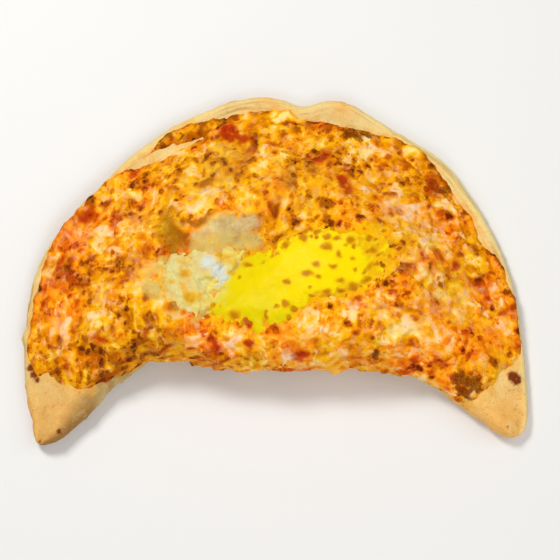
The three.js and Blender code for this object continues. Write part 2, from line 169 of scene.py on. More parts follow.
# (-85, -22) and (-96, -24) darken the left fold's front: browned cheese, partly painted shade
BROWN_SPOTS = (
    (50, 78, 24, 0.6), (75, 95, 20, 0.6), (30, 68, 16, 0.8), (-100, -12, 22, 0.9), (-75, -2, 16, 0.8),
    (-70, 90, 18, 0.8), (-55, 85, 16, 0.8), (-95, 75, 16, 0.6), (120, 5, 14, 0.2), (-120, -8, 16, 0.8),
    (-55, 52, 9, 1), (65, 30, 12, 0.8), (45, 2, 14, 0.5), (-26, 121, 8, 1), (29, 120, 8, 1.3),
    (30, 104, 10, 0.9), (42, 103, 9, 0.9), (84, 108, 7, 0.8), (-82, 94, 10, 0.9), (-81, 79, 9, 1),
    (-64, 80, 9, 0.9), (-108, 50, 8, 0.9), (-107, 36, 9, 1), (-107, 22, 8, 1), (-122, 24, 7, 0.6),
    (-137, 10, 6, 0.8), (124, 38, 7, 0.8), (137, -5, 6, 2), (106, -28, 8, 0.4), (38, 100, 8, 1),
    (-104, 45, 7, 1), (92, 84, 7, 0.6), (-26, 117, 9, 1.5), (-48, 106, 8, 0.7), (-39, 103, 7, 0.6),
    (40, 103, 8, 1.1), (84, 108, 6, 1), (-75, 93, 9, 1), (-92, 40, 9, 1.1), (92, 33, 8, 0.7),
    (27, 17, 7, 0.9), (-135, 10, 7, 0.9), (-39, -5, 6, 0.7), (137, -2, 7, 1.4), (-134, -18, 8, 1),
    (-80, -27, 8, 0.9), (-40, 8, 7, 0.5), (42, 97, 7, 1), (-126, 20, 8, 0.8), (-115, 35, 9, 0.8),
    (-26, 70, 6, 1.2), (-53, 76, 7, 1), (-73, -14, 7, 1), (-66, -9, 7, 0.8), (-39, -15, 6, 0.6),
    (-81, 91, 8, 1.4), (-74, 88, 6, 1.2), (-96, 45, 8, 1.2), (-103, 38, 9, 1.2), (-58, 92, 9, 0.9),
    (-69, 97, 7, 0.8), (131, 38, 6, 1), (134, 28, 5, 1), (136, 20, 5, 0.9), (-130, 12, 8, 0.9),
    (-112, 14, 7, 0.9), (122, -2, 9, 0.8), (-85, -22, 10, 1.8), (-96, -24, 9, 1.7), (-56, 88, 10, 1.4),
    (-57, 103, 8, 1.2),
)
WARM_SPOTS = (
    (-110, 60, 16, 0.35), (-122, 30, 16, 0.25), (100, 95, 8, -0.5), (112, 80, 8, -0.5), (122, 62, 8, -0.5),
    (-108, 30, 14, 0.3), (-118, 0, 10, 0.2), (-100, -15, 20, -0.5), (-75, -6, 14, -0.4),
    (-120, -15, 10, -0.2), (-30, 121, 12, 0.4), (120, 35, 14, 0.4), (135, 10, 10, 0.4), (105, 0, 16, 0.35),
    (-30, -15, 16, 0.4), (10, -15, 16, 0.4), (45, -15, 16, 0.5), (75, -14, 16, 0.5), (95, -18, 14, 0.5),
    (108, -8, 10, 0.3), (14, 62, 16, -0.3), (-69, 38, 12, 0.3), (-45, 122, 10, -0.6), (-28, 100, 12, -0.5),
    (-34, 80, 13, -0.5), (-13, 132, 8, -0.6), (-30, 130, 8, -0.5), (-46, 88, 10, -0.4), (-58, 60, 8, -0.5),
    (15, 95, 12, -0.3), (24, 75, 10, -0.4), (50, 76, 10, -0.4), (-112, 66, 8, -0.3), (-125, 50, 8, -0.3),
    (80, 66, 10, 0.5), (112, 55, 10, -0.4), (125, 40, 9, -0.3), (54, 62, 8, 0.4), (-42, 0, 8, 0.5),
    (26, -2, 8, 0.5), (-122, 12, 8, 0.4), (119, 0, 9, 0.5), (79, -20, 9, 0.6),
)
ROSY_SPOTS = (
    (-112, 62, 14, 0.8), (-126, 40, 10, 0.8), (-78, 66, 12, 0.8), (-94, 78, 10, 0.6), (-121, 8, 10, 0.7),
    (-72, 36, 10, 0.8), (-95, 20, 10, 0.6), (66, 70, 12, 0.7), (80, 58, 10, 0.7), (76, 40, 10, 0.7),
    (90, 18, 12, 0.7), (60, 12, 10, 0.6), (-44, -10, 6, 0.6), (-22, -8, 7, 0.6), (9, -18, 6, 0.6),
    (104, 22, 9, 0.6), (96, 80, 8, 0.6),
)
DULL_SPOTS = (
    (-30, 92, 16, 0.9), (-18, 102, 12, 0.7), (-44, 84, 9, 0.6), (4, 84, 11, 0.8), (16, 74, 11, 0.7),
    (-54, 14, 9, 0.8), (-41, 11, 7, 0.7), (-27, 108, 8, 0.7), (-90, -18, 14, 0.5), (-62, 62, 8, 0.6),
    (24, 92, 9, 0.5),
)
BURNT_SPOTS = (
    (109, -30, 8, 1.5), (105, -23, 6, 1), (113, -25, 6, 1.1), (-64, 115, 5, 1), (-57, 118, 5, 1),
    (51, 118, 7, 0.9), (42, 120, 7, 0.9), (56, -17, 5, 0.8), (94, -37, 5, 0.8), (101, -35, 5, 0.8),
    (-100, -20, 7, 0.5), (-122, -21, 6, 0.5), (-103, -29, 5, 0.5), (-117, -20, 5, 0.5), (94, 88, 7, 0.8),
    (133, 29, 5, 0.7), (-56, 50, 7, 0.5), (-24.5, 71.5, 4, 0.6), (-128, -8, 5, 0.4), (-83, 92, 4, 0.4),
    (-117, 40, 4, 0.6), (-73, 90, 4, 0.5), (131.5, 34, 3, 0.6), (134, 25, 3, 0.6),
)

# The egg's outlines in plan, each seen from a middle
YOLK_MIDDLE = (10.0, 31.0)
YOLK = (
    (-20, 42), (-3, 47), (10, 54), (26, 58.5), (44, 58), (59, 52), (66, 42.5), (61, 29), (45, 23.5),
    (24, 21), (14, 13), (-2, 4), (-20, 3.5), (-36, 6), (-39, 16), (-33, 26), (-26, 34.5),
)
WHITE_MIDDLE = (-44.0, 31.0)
WHITE = (
    (-66, 37), (-67, 29), (-63, 20), (-53, 13), (-45, 10), (-39, 13), (-34, 22), (-27, 31), (-20, 41),
    (-22, 46), (-34, 46), (-42, 45), (-49, 41), (-56, 40), (-62, 39),
)

# Browned specks of the yolk: x, y and half widths
YOLK_SPECKS = (
    (17, 54, 2.4, 2.2), (30, 48, 2.6, 2.4), (35.3, 52.3, 2.4, 1.2), (43, 51.5, 2.1, 2.1),
    (36, 43.6, 1.5, 2.2), (44, 41.6, 1.6, 1.1), (58, 38.6, 4.0, 1.8), (33, 37, 2.0, 1.4),
    (45, 35, 1.1, 1.1), (19, 31.8, 3.2, 2.0), (24.5, 31, 1.6, 1.6), (36.7, 29, 2.2, 1.8),
    (24, 38, 2.0, 2.0), (-15.5, 39, 2.8, 1.5), (7.9, 26.8, 1.8, 1.8), (-22, 9.4, 3.0, 2.8),
    (6.7, 14.5, 2.0, 1.6), (44, 25.5, 3.2, 2.6), (28.3, 21.5, 2.6, 2.2), (53, 53, 2.2, 2.0),
    (25, 57, 2.6, 1.8), (55, 46, 2.2, 1.8), (37, 23, 2.4, 1.6), (52, 30, 2.6, 1.8), (6, 50, 2.4, 1.8),
    (40, 57, 2.2, 1.6),
)

# Browned lumps and milky places of the white: x, y, radius and strength
WHITE_LUMPS = ((-49.2, 32.7, 3.2, 1), (-47.9, 18.7, 3.6, 1), (-57, 27, 2.2, 0.6))
WHITE_MILK = (
    (-37, 39, 5, 0.9), (-32, 34.5, 5.5, 1), (-28, 30, 4.5, 1), (-31, 25, 4, 0.7), (-48, 11.5, 3.5, 0.6),
)

# Spots of the crust: x, y, radius and strength, and the height of the knob at its left tip
TOAST_SPOTS = ((-4, 143, 8, 0.7), (40, 139, 8, 1))
SCORCH_SPOTS = (
    (135.4, -20.2, 3.3, 1.2), (137, -21.8, 3.1, 1.2), (131.5, -49, 1.2, 0.7), (-121, -52, 1.5, 1),
    (-138, -15, 2.4, 1), (-136, -19, 2.6, 1), (-134, -22, 2.0, 0.9), (-132, -57, 1.4, 0.7),
)
# Pale patches by the left horn's fold, added to the rim's painted highlight
BRINK_SPOTS = ((-84, -28, 7, 1), (-94, -34, 7, 0.9), (-75, -21, 6, 0.9))
TIP_KNOB = ((-143, 2, 3, 1),)
KNOB_HEIGHT = 2.4

# Warps of the topping's plan: size, reach and kind
BENT = (6.0, 1.8, 20)
SOFT = (10.0, 2.5, 24)
SOFTER = (3.6, 0.9, 28)
LOOSE = (9.0, 3.5, 30)

# Sums of noise: height, size and kind
EDGE_LOBES = ((1.0, 6.0, 5), (0.6, 2.7, 9))
EGG_LOBES = ((0.13, 8.0, 160), (0.09, 3.4, 165))
CRUST_BUMPS = ((0.35, 9.0, 210), (0.12, 2.4, 220))
TOPPING_BUMPS = ((1.0, 14.0, 120), (0.6, 5.0, 130))
WHITE_BUMPS = ((1.0, 9.0, 310), (0.8, 4.0, 320))

# Domes: spacing, least and greatest radius
LUMP_DOMES = (7.0, 1.5, 3.4)
CELL_DOMES = (5.6, 3.0, 4.2)
LARGE_DOMES = (8.4, 1.8, 4.8)
SMALL_DOMES = (4.8, 1.2, 2.2)
BUBBLE_DOMES = (9.0, 1.5, 3.5)
WHITE_DOMES = (6.0, 1.2, 2.6)
YOLK_DOMES = (4.6, 1.2, 2.6)

# How far a dome's middle may stray in its cell, how rare large ones are, and how softly they vanish
STRAY, RARITY, VANISH = 0.76, 1.6, 0.12

# The topping's darkest tone
DARKEST = 0.88

# How far the topping's mesh runs along and across the dough, and how deep it is rooted in it
TOPPING_ENDS = (0.02, 0.985)
TOPPING_SIDES = (-0.75, 0.985)
TOPPING_ROOT = 1.6

# The egg's meshes: the shares of their outlines they span, their least height and their undersides' height
EGG_SPAN = (0.01, 1.3)
EGG_LEAST = 0.6
EGG_FLOOR = 0.4

# Softening of the egg's outlines: steps on each side, radians for a step and the bell's width
OUTLINE_STEPS, OUTLINE_STEP, OUTLINE_SOFT = 6, 0.06, 0.2

# The stage in metres: the camera's aim and sensor, and each light's place, size and share of the power
AIM = (0.0024, -0.0080, 0.015)
SENSOR = 36.0
LIGHTS = {
    "key": ((-0.45, 0.5, 0.95), 0.3, 0.96),
    "fill": ((0.9, 0.1, 0.8), 0.9, 0.42),
    "front": ((0.1, -0.9, 0.8), 0.8, 0.55),
}
LIGHT_AIM = (0.0, 0.0, 0.02)
SKY = 0.3
FLOOR_HALF = 3.0

# Finenesses of the grids and searches
CRUST_ROWS, CRUST_TOP, CRUST_SIDE, CRUST_FLOOR, CRUST_CAP = 380, 170, 14, 10, 18
TOPPING_ROWS, TOPPING_COLUMNS, TOPPING_UNDER = 460, 196, 12
EGG_RINGS, EGG_SPOKES, EGG_UNDER = 52, 300, 6
SHIFT_ROWS, SHIFT_SIDES = 600, 240
SECTION_STEPS, ROW_RUN = 700, 0.999999
HALVINGS = 30


def paint(red, green, blue):
    """Linear colour of a screen colour given in 0 to 255."""
    c = np.array([red, green, blue]) / 255.0
    return tuple(float(v) for v in np.where(c <= 0.04045, c / 12.92, ((c + 0.055) / 1.055) ** 2.4))


# Plain functions


def mix(a, b, share):
    """a + (b - a) * share."""
    return a + (b - a) * share


def bell(x, middle, wide):
    """Gaussian: exp of minus ((x - middle) / wide) squared."""
    return np.exp(-(((x - middle) / wide) ** 2))


def ease(x, low, high):
    """Smooth step t * t * (3 - 2 t) from 0 at low to 1 at high."""
    t = np.clip((x - low) / (high - low), 0.0, 1.0)
    return t * t * (3.0 - 2.0 * t)


def fade(x, low, high):
    """One less the smooth step: 1 at low, 0 at high."""
    return 1.0 - ease(x, low, high)


def soft_ramp(x, soft):
    """soft * log(1 + exp(x / soft)): zero far below x = 0, x far above it."""
    return soft * np.log1p(np.exp(x / soft))


def waves(rows, x):
    """Sum of bells, one for each (middle, width, height)."""
    return sum(high * bell(x, at, wide) for at, wide, high in rows)


def along(table, x):
    """Straight lines between the (x, value) pairs of a table."""
    xs, values = zip(*table)
    return np.interp(x, xs, values)


def facing(place, aim):
    """The turn of a camera or light at a place that makes it face an aim."""
    return (Vector(aim) - Vector(place)).to_track_quat("-Z", "Y").to_euler()


# Repeatable fields in space


def chance(cell, kind):
    """A repeatable number from 0 to 1 for a cell: the fraction of a large multiple of a sine."""
    s = np.sin(cell @ np.array([127.1, 311.7, 74.7])[:cell.shape[-1]] + kind * 19.19) * 43758.5453
    return s - np.floor(s)


def noise(points, size, kind):
    """Smooth value noise from -1 to 1: the chances of a cell's corners, eased between."""
    q = points / size
    home = np.floor(q)
    f = q - home
    f = f * f * f * (f * (f * 6.0 - 15.0) + 10.0)
    total = 0.0
    for corner in product((0, 1), repeat=points.shape[-1]):
        weight = np.prod(np.where(np.array(corner) == 1, f, 1.0 - f), axis=-1)
        total = total + weight * chance(home + np.array(corner), kind)
    return 2.0 * total - 1.0


def rough(points, size, kind, octaves=3):
    """Noise summed over octaves, each half the size and half the height of the one before."""
    return sum(noise(points, size / 2**n, kind + 7 * n) / 2**n for n in range(octaves))


def bumps(points, rows, octaves=3):
    """Sum of rough noises, one for each (height, size, kind)."""
    return sum(high * rough(points, size, kind, octaves) for high, size, kind in rows)


def warped(points, size, reach, kind):
    """Points moved about by noise, one noise for each coordinate."""
    moves = [noise(points, size, kind + n) for n in range(points.shape[-1])]
    return points + reach * np.stack(moves, axis=-1)


def domes(points, cell, low, high, density, kind):
    """Round domes in a jittered grid: 1 - (distance / radius) squared, the highest of the nearby cells,
    -1 far from any, and a tone from 0 to 1 for each dome. A dome shrinks to nothing where its chance is
    above the density."""
    q = points / cell
    home = np.floor(q)
    best = np.full(points.shape[:-1], -1.0)
    tone = np.zeros(points.shape[:-1])
    for corner in product((-1, 0, 1), repeat=points.shape[-1]):
        c = home + np.array(corner)
        moves = [chance(c, kind + n) for n in range(points.shape[-1])]
        centre = c + (1 - STRAY) / 2 + STRAY * np.stack(moves, axis=-1)
        radius = mix(low, high, chance(c, kind + 3) ** RARITY) / cell
        radius = radius * ease(density - chance(c, kind + 4), 0.0, VANISH)
        height = 1.0 - ((q - centre) ** 2).sum(axis=-1) / np.maximum(radius, 1e-3) ** 2
        tone = np.where(height > best, chance(c, kind + 5), tone)
        best = np.maximum(best, height)
    return best, tone


def spot_bells(spots, points):
    """A round bell in plan for each (x, y, radius, strength)."""
    x, y = points[..., 0], points[..., 1]
    return [strength * bell(np.hypot(x - at, y - up), 0.0, radius) for at, up, radius, strength in spots]


def patches(spots, points):
    """The strongest of a list of spots."""
    return np.max(spot_bells(spots, points), axis=0)


def zones(spots, points):
    """The sum of a list of spots, whose strengths may be negative."""
    return sum(spot_bells(spots, points))


def track(path, points):
    """Distance in plan from a path of (x, y, half width) points, less its half width there."""
    best = np.full(points.shape[:-1], 1e3)
    for (ax, ay, aw), (bx, by, bw) in zip(path, path[1:]):
        dx, dy = bx - ax, by - ay
        t = np.clip(((points[..., 0] - ax) * dx + (points[..., 1] - ay) * dy) / (dx * dx + dy * dy), 0, 1)
        away = np.hypot(points[..., 0] - ax - t * dx, points[..., 1] - ay - t * dy)
        best = np.minimum(best, away - mix(aw, bw, t))
    return best


# The dough's broad surface


def plan_angle(x, y):
    """Angle in plan in degrees, from -90 to 270."""
    angle = np.degrees(np.arctan2(y, x))
    return np.where(angle < -90, angle + 360, angle)


def rim_point(u):
    """The rim in plan: a circle with bell waves on its radius."""
    angle = mix(*RIM_ENDS, u)
    radius = DISC_RADIUS + waves(RIM_WAVES, angle)
    a = np.radians(angle)
    return np.stack([radius * np.cos(a), radius * np.sin(a)], axis=-1)


def fold_point(u):
    """The fold in plan: a straight line with a soft bend into each horn and bell waves."""
    x = mix(-FOLD_HALF, FOLD_HALF, u + FAN * np.sin(2 * np.pi * u) / (2 * np.pi))
    left, right = LEFT_HORN, RIGHT_HORN
    horns = left[1] * soft_ramp(-x - left[0], left[2]) + right[1] * soft_ramp(x - right[0], right[2])
    return np.stack([x, FOLD_Y - horns + waves(FOLD_WAVES, x)], axis=-1)


def section(u):
    """The fold's and the rim's points of a section, and the distance between them."""
    fold, rim = fold_point(u), rim_point(u)
    return fold, rim, np.linalg.norm(rim - fold, axis=-1)


def body_share(u):
    """0 on the horns, 1 over the filling."""
    return ease(u, 0.0, BODY_ENDS[0]) * fade(u, BODY_ENDS[1], 1.0)


def nose_height(u):
    """Height of the fold's nose."""
    return FOLD_MIDDLE * mix(HORN_HEIGHT, BODY_HEIGHT, body_share(u))


def filling_relief(x, y):
    """Lumps as products of sines, less the bell-shaped hollow that the egg lies in."""
    lumps = np.sin(x / 16 + 0.6) * np.cos(y / 14 - 0.3) + 0.7 * np.sin(x / 9.5 - y / 12 + 1.9)
    wx, wy, across, deep, down = EGG_WELL
    return LUMP * lumps - down * bell(np.hypot((x - wx) / across, (y - wy) / deep), 0.0, 0.75)


def top_height(u, d, w, place):
    """Height over a section: a base that falls from the nose to the rim, a superellipse at the fold times a
    smooth rise from the rim, the rim's lip and groove, and the filling's relief."""
    body = body_share(u)
    height = mix(HORN_HEIGHT, BODY_HEIGHT, body)
    rim = mix(HORN_RIM_WIDTH, RIM_WIDTH, body)
    base = mix(FOLD_MIDDLE * height, RIM_THICKNESS, ease(d / w, 0.0, BASE_FALL))
    start = np.clip(d / np.minimum(FOLD_ROUND, MOST_ROUND * w), 0.0, 1.0)
    fold = (1.0 - (1.0 - start) ** FOLD_POWER) ** (1.0 / FOLD_POWER)
    rise = ease((w - rim - d) / np.minimum(RIM_RISE, MOST_RISE * w), 0.0, 1.0)
    lip = LIP * body * (bell(w - d, *LIP_CREST) - bell(w - d, rim, GROOVE_WIDTH))
    x, y = place[..., 0], place[..., 1]
    relief = body * filling_relief(x, y)
    return base + (height - base + relief) * fold * rise + lip + patches((HORN_BLISTER,), place)


def crust_point(u, side):
    """A point of the section at u. Side 0 to 1 runs over the top from the fold's nose to the rim's edge
    with the spacing of a cosine, -1 to 0 is a quarter ellipse under the nose, 1 to 2 one under the rim's
    edge."""
    u, side = np.broadcast_arrays(u, side)
    fold, rim, w = section(u)
    nose = nose_height(u)
    edge = np.minimum(RIM_THICKNESS / 2, MOST_EDGE * w)
    under = np.minimum(FOLD_UNDER, MOST_UNDER * w)
    turn = np.clip(-side, 0, 1) * np.pi / 2
    lip = np.clip(side - 1, 0, 1) * np.pi / 2
    d = w * (1 - np.cos(np.pi * np.clip(side, 0, 1))) / 2
    place = fold + (rim - fold) * (d / w)[..., None]
    full = top_height(u, np.minimum(d, w - edge), w, place)
    drop = np.clip((d - (w - edge)) / edge, 0, 1)
    z = mix(edge, full, np.sqrt(1 - drop * drop))
    d = np.where(side < 0, under * (1 - np.cos(turn)), np.where(side > 1, w - edge * (1 - np.cos(lip)), d))
    z = np.where(side < 0, nose * (1 - np.sin(turn)), np.where(side > 1, edge * (1 - np.sin(lip)), z))
    place = fold + (rim - fold) * (d / w)[..., None]
    return np.concatenate([place, z[..., None]], axis=-1)


def crust_out(u, side):
    """The direction out of the dough: the cross product of the steps along and across, by differences."""
    step = 0.003
    ahead = crust_point(np.minimum(u + step, 1), side) - crust_point(np.maximum(u - step, 0), side)
    over = crust_point(u, np.minimum(side + step, 2)) - crust_point(u, np.maximum(side - step, -1))
    out = np.cross(ahead, over)
    return out / np.linalg.norm(out, axis=-1, keepdims=True)


def place_over(x, y):
    """The u and side of the dough's top at a place in plan, found by halving on the sections."""
    low, high = np.zeros_like(x), np.ones_like(x)
    for _ in range(HALVINGS):
        u = (low + high) / 2
        fold, rim, _ = section(u)
        run = rim - fold
        turn = run[..., 0] * (y - fold[..., 1]) - run[..., 1] * (x - fold[..., 0])
        high, low = np.where(turn > 0, u, high), np.where(turn > 0, low, u)
    fold, _, w = section(u)
    d = np.hypot(x - fold[..., 0], y - fold[..., 1]) / w
    return u, np.arccos(1 - 2 * np.clip(d, 0, 1)) / np.pi


def plan_shift():
    """From the plan's own frame to the part's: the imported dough's box against the formula's."""
    u = np.linspace(0, 1, SHIFT_ROWS)[:, None]
    edge = crust_point(u, np.linspace(-1, 2, SHIFT_SIDES)[None, :]).reshape(-1, 3)
    caps = [crust_cap(end, cap).reshape(-1, 3) for end, cap in ((0, LEFT_CAP), (1, RIGHT_CAP))]
    tips = np.concatenate([*caps, edge])
    low, high = (np.array(v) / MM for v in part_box("dough"))
    shift = (low + high) / 2 - (tips.min(axis=0) + tips.max(axis=0)) / 2
    return np.array([shift[0], shift[1], 0.0])


def loop_sides():
    """Sides of a closed section: under the nose, over the top and under the rim's edge."""
    return np.concatenate([
        np.linspace(-1, 0, CRUST_SIDE, endpoint=False),
        np.linspace(0, 1, CRUST_TOP, endpoint=False),
        np.linspace(1, 2, CRUST_SIDE + 1),
    ])


def crust_loop(u):
    """Closed sections at each u: round the nose, over the top, round the rim's edge and back along the
    floor."""
    loop = crust_point(np.asarray(u, float)[:, None], loop_sides()[None, :])
    t = (np.arange(1, CRUST_FLOOR) / CRUST_FLOOR)[None, :, None]
    floor = mix(loop[:, -1:], loop[:, :1], t)
    return np.concatenate([loop, floor], axis=1)


def over_crust(values):
    """Values on the sections' sides carried on over the rounded ends and the floor."""
    return np.pad(values, ((CRUST_CAP - 1, CRUST_CAP - 1), (0, CRUST_FLOOR - 1)), mode="edge")


def crust_cap(u, cap):
    """A rounded end: the end section shrunk by a cosine about its middle while it moves out by a sine,
    drawn in further by the cap's taper."""
    length, lean, taper = cap
    loop = crust_loop([u])
    fold, rim, w = section(np.array(float(u)))
    across = (rim - fold) / w
    way = 1.0 if u == 0 else -1.0
    ahead = np.radians(lean)
    reach = np.sin(ahead) * across + way * np.cos(ahead) * np.array([-across[1], across[0]])
    turn = (np.arange(1, CRUST_CAP) / CRUST_CAP * np.pi / 2)[:, None, None]
    middle = np.array([*(fold + rim) / 2, HORN_HEIGHT * FOLD_MIDDLE])
    shrink = np.cos(turn) * (1 - taper * np.sin(turn) * np.array([1.0, 1.0, 0.3]))
    rows = middle + (loop - middle) * shrink + np.array([*reach, 0.0]) * length * np.sin(turn)
    return rows[::-1] if u == 0 else rows


def even_sides(u, columns):
    """Values of side that space the topping evenly along each section, by the inverse of the run along
    it. Each row's run is moved up by the row's number, so that one table serves all rows."""
    fine = np.linspace(*TOPPING_SIDES, SECTION_STEPS)[None, :]
    points = crust_point(u, fine)
    steps = np.linalg.norm(np.diff(points, axis=1), axis=-1)
    run = np.concatenate([np.zeros((len(u), 1)), steps.cumsum(axis=1)], axis=1)
    row = np.arange(len(u))[:, None]
    run = row + ROW_RUN * run / run[:, -1:]
    want = row + ROW_RUN * np.linspace(0, 1, columns)[None, :]
    sides = np.broadcast_to(fine, run.shape)
    return np.interp(want.ravel(), run.ravel(), sides.ravel()).reshape(len(u), columns)


def crust_lines(points):
    """Flaky lines along the rim, by noise over its angle and the distance inside its edge, and that
    distance."""
    x, y, z = np.moveaxis(points, -1, 0)
    reach = DISC_RADIUS + waves(RIM_WAVES, plan_angle(x, y)) - np.hypot(x, y)
    turn = np.degrees(np.arctan2(y, x)) * 0.1
    inward = reach / 1.3 + 0.6 * noise(points[..., :2], 20.0, 225)
    strip = np.stack([turn, inward, z / 3.0], axis=-1)
    lines = ease(rough(strip, 1.0, 230), 0.2, 0.9) * fade(reach, 7.0, 13.0) * ease(y, -30.0, 10.0)
    return lines, reach


# Meshes


def grid_out(points):
    """Directions out of a grid of closed rows: the cross product of its differences down and along them."""
    out = np.cross(np.gradient(points, axis=0), np.roll(points, -1, 1) - np.roll(points, 1, 1))
    return out / np.maximum(np.linalg.norm(out, axis=-1, keepdims=True), 1e-9)


def closed(top, under, looks, axis):
    """An upper side and an underside as one grid, the underside running back along an axis, with looks kept
    between 0 and 1 above and zero below."""
    beyond = [(0, 0), (0, 0)]
    beyond[axis] = (0, under.shape[axis])
    looks = {key: np.pad(np.clip(value, 0, 1), beyond) for key, value in looks.items()}
    return np.concatenate([top, np.flip(under, axis)], axis), looks


def new_piece(name, node, points, looks, material):
    """A closed mesh object in place of a node: a grid of closed rows of points in millimetres, with a face
    over its first and its last row, and named values for each point."""
    rows, columns = points.shape[:2]
    number = np.arange(rows * columns).reshape(rows, columns)
    beside = np.roll(number, -1, axis=1)
    quads = np.stack([number[:-1], number[1:], beside[1:], beside[:-1]], axis=-1)
    corners = np.concatenate([quads.ravel(), number[0], number[-1, ::-1]]).astype(np.int32)
    sizes = np.repeat([4, columns], [(rows - 1) * columns, 2])
    mesh = bpy.data.meshes.new(name)
    mesh.vertices.add(rows * columns)
    mesh.vertices.foreach_set("co", ((points + SHIFT) * MM).astype(np.float32).ravel())
    mesh.loops.add(len(corners))
    mesh.loops.foreach_set("vertex_index", corners)
    mesh.polygons.add(len(sizes))
    mesh.polygons.foreach_set("loop_start", (np.cumsum(sizes) - sizes).astype(np.int32))
    mesh.update(calc_edges=True)
    mesh.validate()
    mesh.polygons.foreach_set("use_smooth", np.ones(len(mesh.polygons), bool))
    for look, values in looks.items():
        layer = mesh.attributes.new(look, "FLOAT", "POINT")
        layer.data.foreach_set("value", values.astype(np.float32).ravel())
    mesh.materials.append(material)
    piece = bpy.data.objects.new(name, mesh)
    bpy.context.scene.collection.objects.link(piece)
    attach(piece, "root")
    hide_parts(node)


# Shader maths


class Value:
    """A socket of a material's tree: arithmetic on it adds Math nodes, and node() adds any other node."""

    def __init__(self, tree, socket=None):
        self.tree = tree
        self.socket = socket

    def node(self, kind, settings=None, inputs=None, out=0):
        """Adds a node: its settings first, then values or links for its inputs by name or number."""
        made = self.tree.nodes.new(kind)
        for key, value in (settings or {}).items():
            if key == "stops":
                self.set_stops(made.color_ramp.elements, value)
            else:
                setattr(made, key, value)
        for key, value in (inputs or {}).items():
            if isinstance(value, Value):
                self.tree.links.new(value.socket, made.inputs[key])
            else:
                made.inputs[key].default_value = value
        return Value(self.tree, made.outputs[out]) if len(made.outputs) else Value(self.tree)

    def set_stops(self, elements, stops):
        """Gives a colour ramp its stops: place and colour, evenly spaced from 0 to 1."""
        for number, colour in enumerate(stops):
            place = number / (len(stops) - 1)
            stop = elements.new(place) if 0 < number < len(stops) - 1 else elements[0 if number == 0 else -1]
            stop.color = (*colour, 1.0)

    def math(self, operation, *terms, clamp=False):
        """A Math node on this tree."""
        settings = {"operation": operation, "use_clamp": clamp}
        return self.node("ShaderNodeMath", settings, dict(enumerate(terms)))

    def __add__(self, other):
        return self.math("ADD", self, other)

    def __sub__(self, other):
        return self.math("SUBTRACT", self, other)

    def __rsub__(self, other):
        return self.math("SUBTRACT", other, self)

    def __mul__(self, other):
        return self.math("MULTIPLY", self, other)

    __radd__ = __add__
    __rmul__ = __mul__

    def clamped(self):
        """The value kept between 0 and 1."""
        return self.math("ADD", self, 0.0, clamp=True)

    def eased(self, low, high):
        """Smooth step from 0 at low to 1 at high."""
        settings = {"interpolation_type": "SMOOTHSTEP"}
        inputs = {"Value": self, "From Min": low, "From Max": high}
        return self.node("ShaderNodeMapRange", settings, inputs)

    def attribute(self, name):
        """A value that the mesh stores for each point."""
        return self.node("ShaderNodeAttribute", {"attribute_name": name}, out="Fac")

    def place(self):
        """Object coordinates."""
        return self.node("ShaderNodeTexCoord", out="Object")

    def grain(self, place, scale, detail=3.0, roughness=0.55):
        """Noise texture of a given fineness."""
        return self.node("ShaderNodeTexNoise", None, {
            "Vector": place, "Scale": scale, "Detail": detail, "Roughness": roughness}, out="Fac")

    def cells(self, place, size):
        """Distance from the nearest of scattered middles, as a share of their spacing, and a chance for
        each."""
        inputs = {"Vector": place, "Scale": 1.0 / size}
        near = self.node("ShaderNodeTexVoronoi", None, inputs, out="Distance")
        colour = Value(self.tree, near.socket.node.outputs["Color"])
        return near, self.node("ShaderNodeSeparateColor", None, {"Color": colour})

    def stirred(self, place, scale, reach):
        """A place moved about by noise of a given fineness."""
        inputs = {"Vector": place, "Scale": scale, "Detail": 1.0}
        cloud = self.node("ShaderNodeTexNoise", None, inputs, out="Color")
        return self.node("ShaderNodeVectorMath", {"operation": "MULTIPLY_ADD"}, {
            0: cloud, 1: (reach, reach, reach), 2: place})

    def ramp(self, *stops):
        """A colour for this value from 0 to 1, by straight runs between evenly spaced stops."""
        return self.node("ShaderNodeValToRGB", {"stops": stops}, {"Fac": self}, out="Color")

    def tint(self, a, b, share):
        """Colour a to colour b by a share."""
        a, b = (v if isinstance(v, Value) else (*v, 1.0) for v in (a, b))
        return self.node("ShaderNodeMix", {"data_type": "RGBA"}, {0: share, 6: a, 7: b}, out=2)

    def veiled(self, colour, veils):
        """A colour under veils, each a mesh value's name, its colour, the mottling added to the value,
        where it starts, where it is full, and its greatest share."""
        for name, over, mottle, start, full, most in veils:
            share = (self.attribute(name) + mottle).eased(start, full)
            colour = self.tint(colour, over, share * most)
        return colour

    def bump(self, height, distance, strength):
        """Normals bent by a height."""
        inputs = {"Strength": strength, "Distance": distance, "Height": height}
        return self.node("ShaderNodeBump", None, inputs)


def new_look(name):
    """An empty material, and a value to build its tree from."""
    material = bpy.data.materials.new(name)
    material.use_nodes = True
    material.node_tree.nodes.clear()
    return material, Value(material.node_tree)


def finish_look(tree, **inputs):
    """The surface shader and the output."""
    named = {key.replace("_", " "): value for key, value in inputs.items()}
    shader = tree.node("ShaderNodeBsdfPrincipled", None, named)
    tree.node("ShaderNodeOutputMaterial", None, {"Surface": shader})


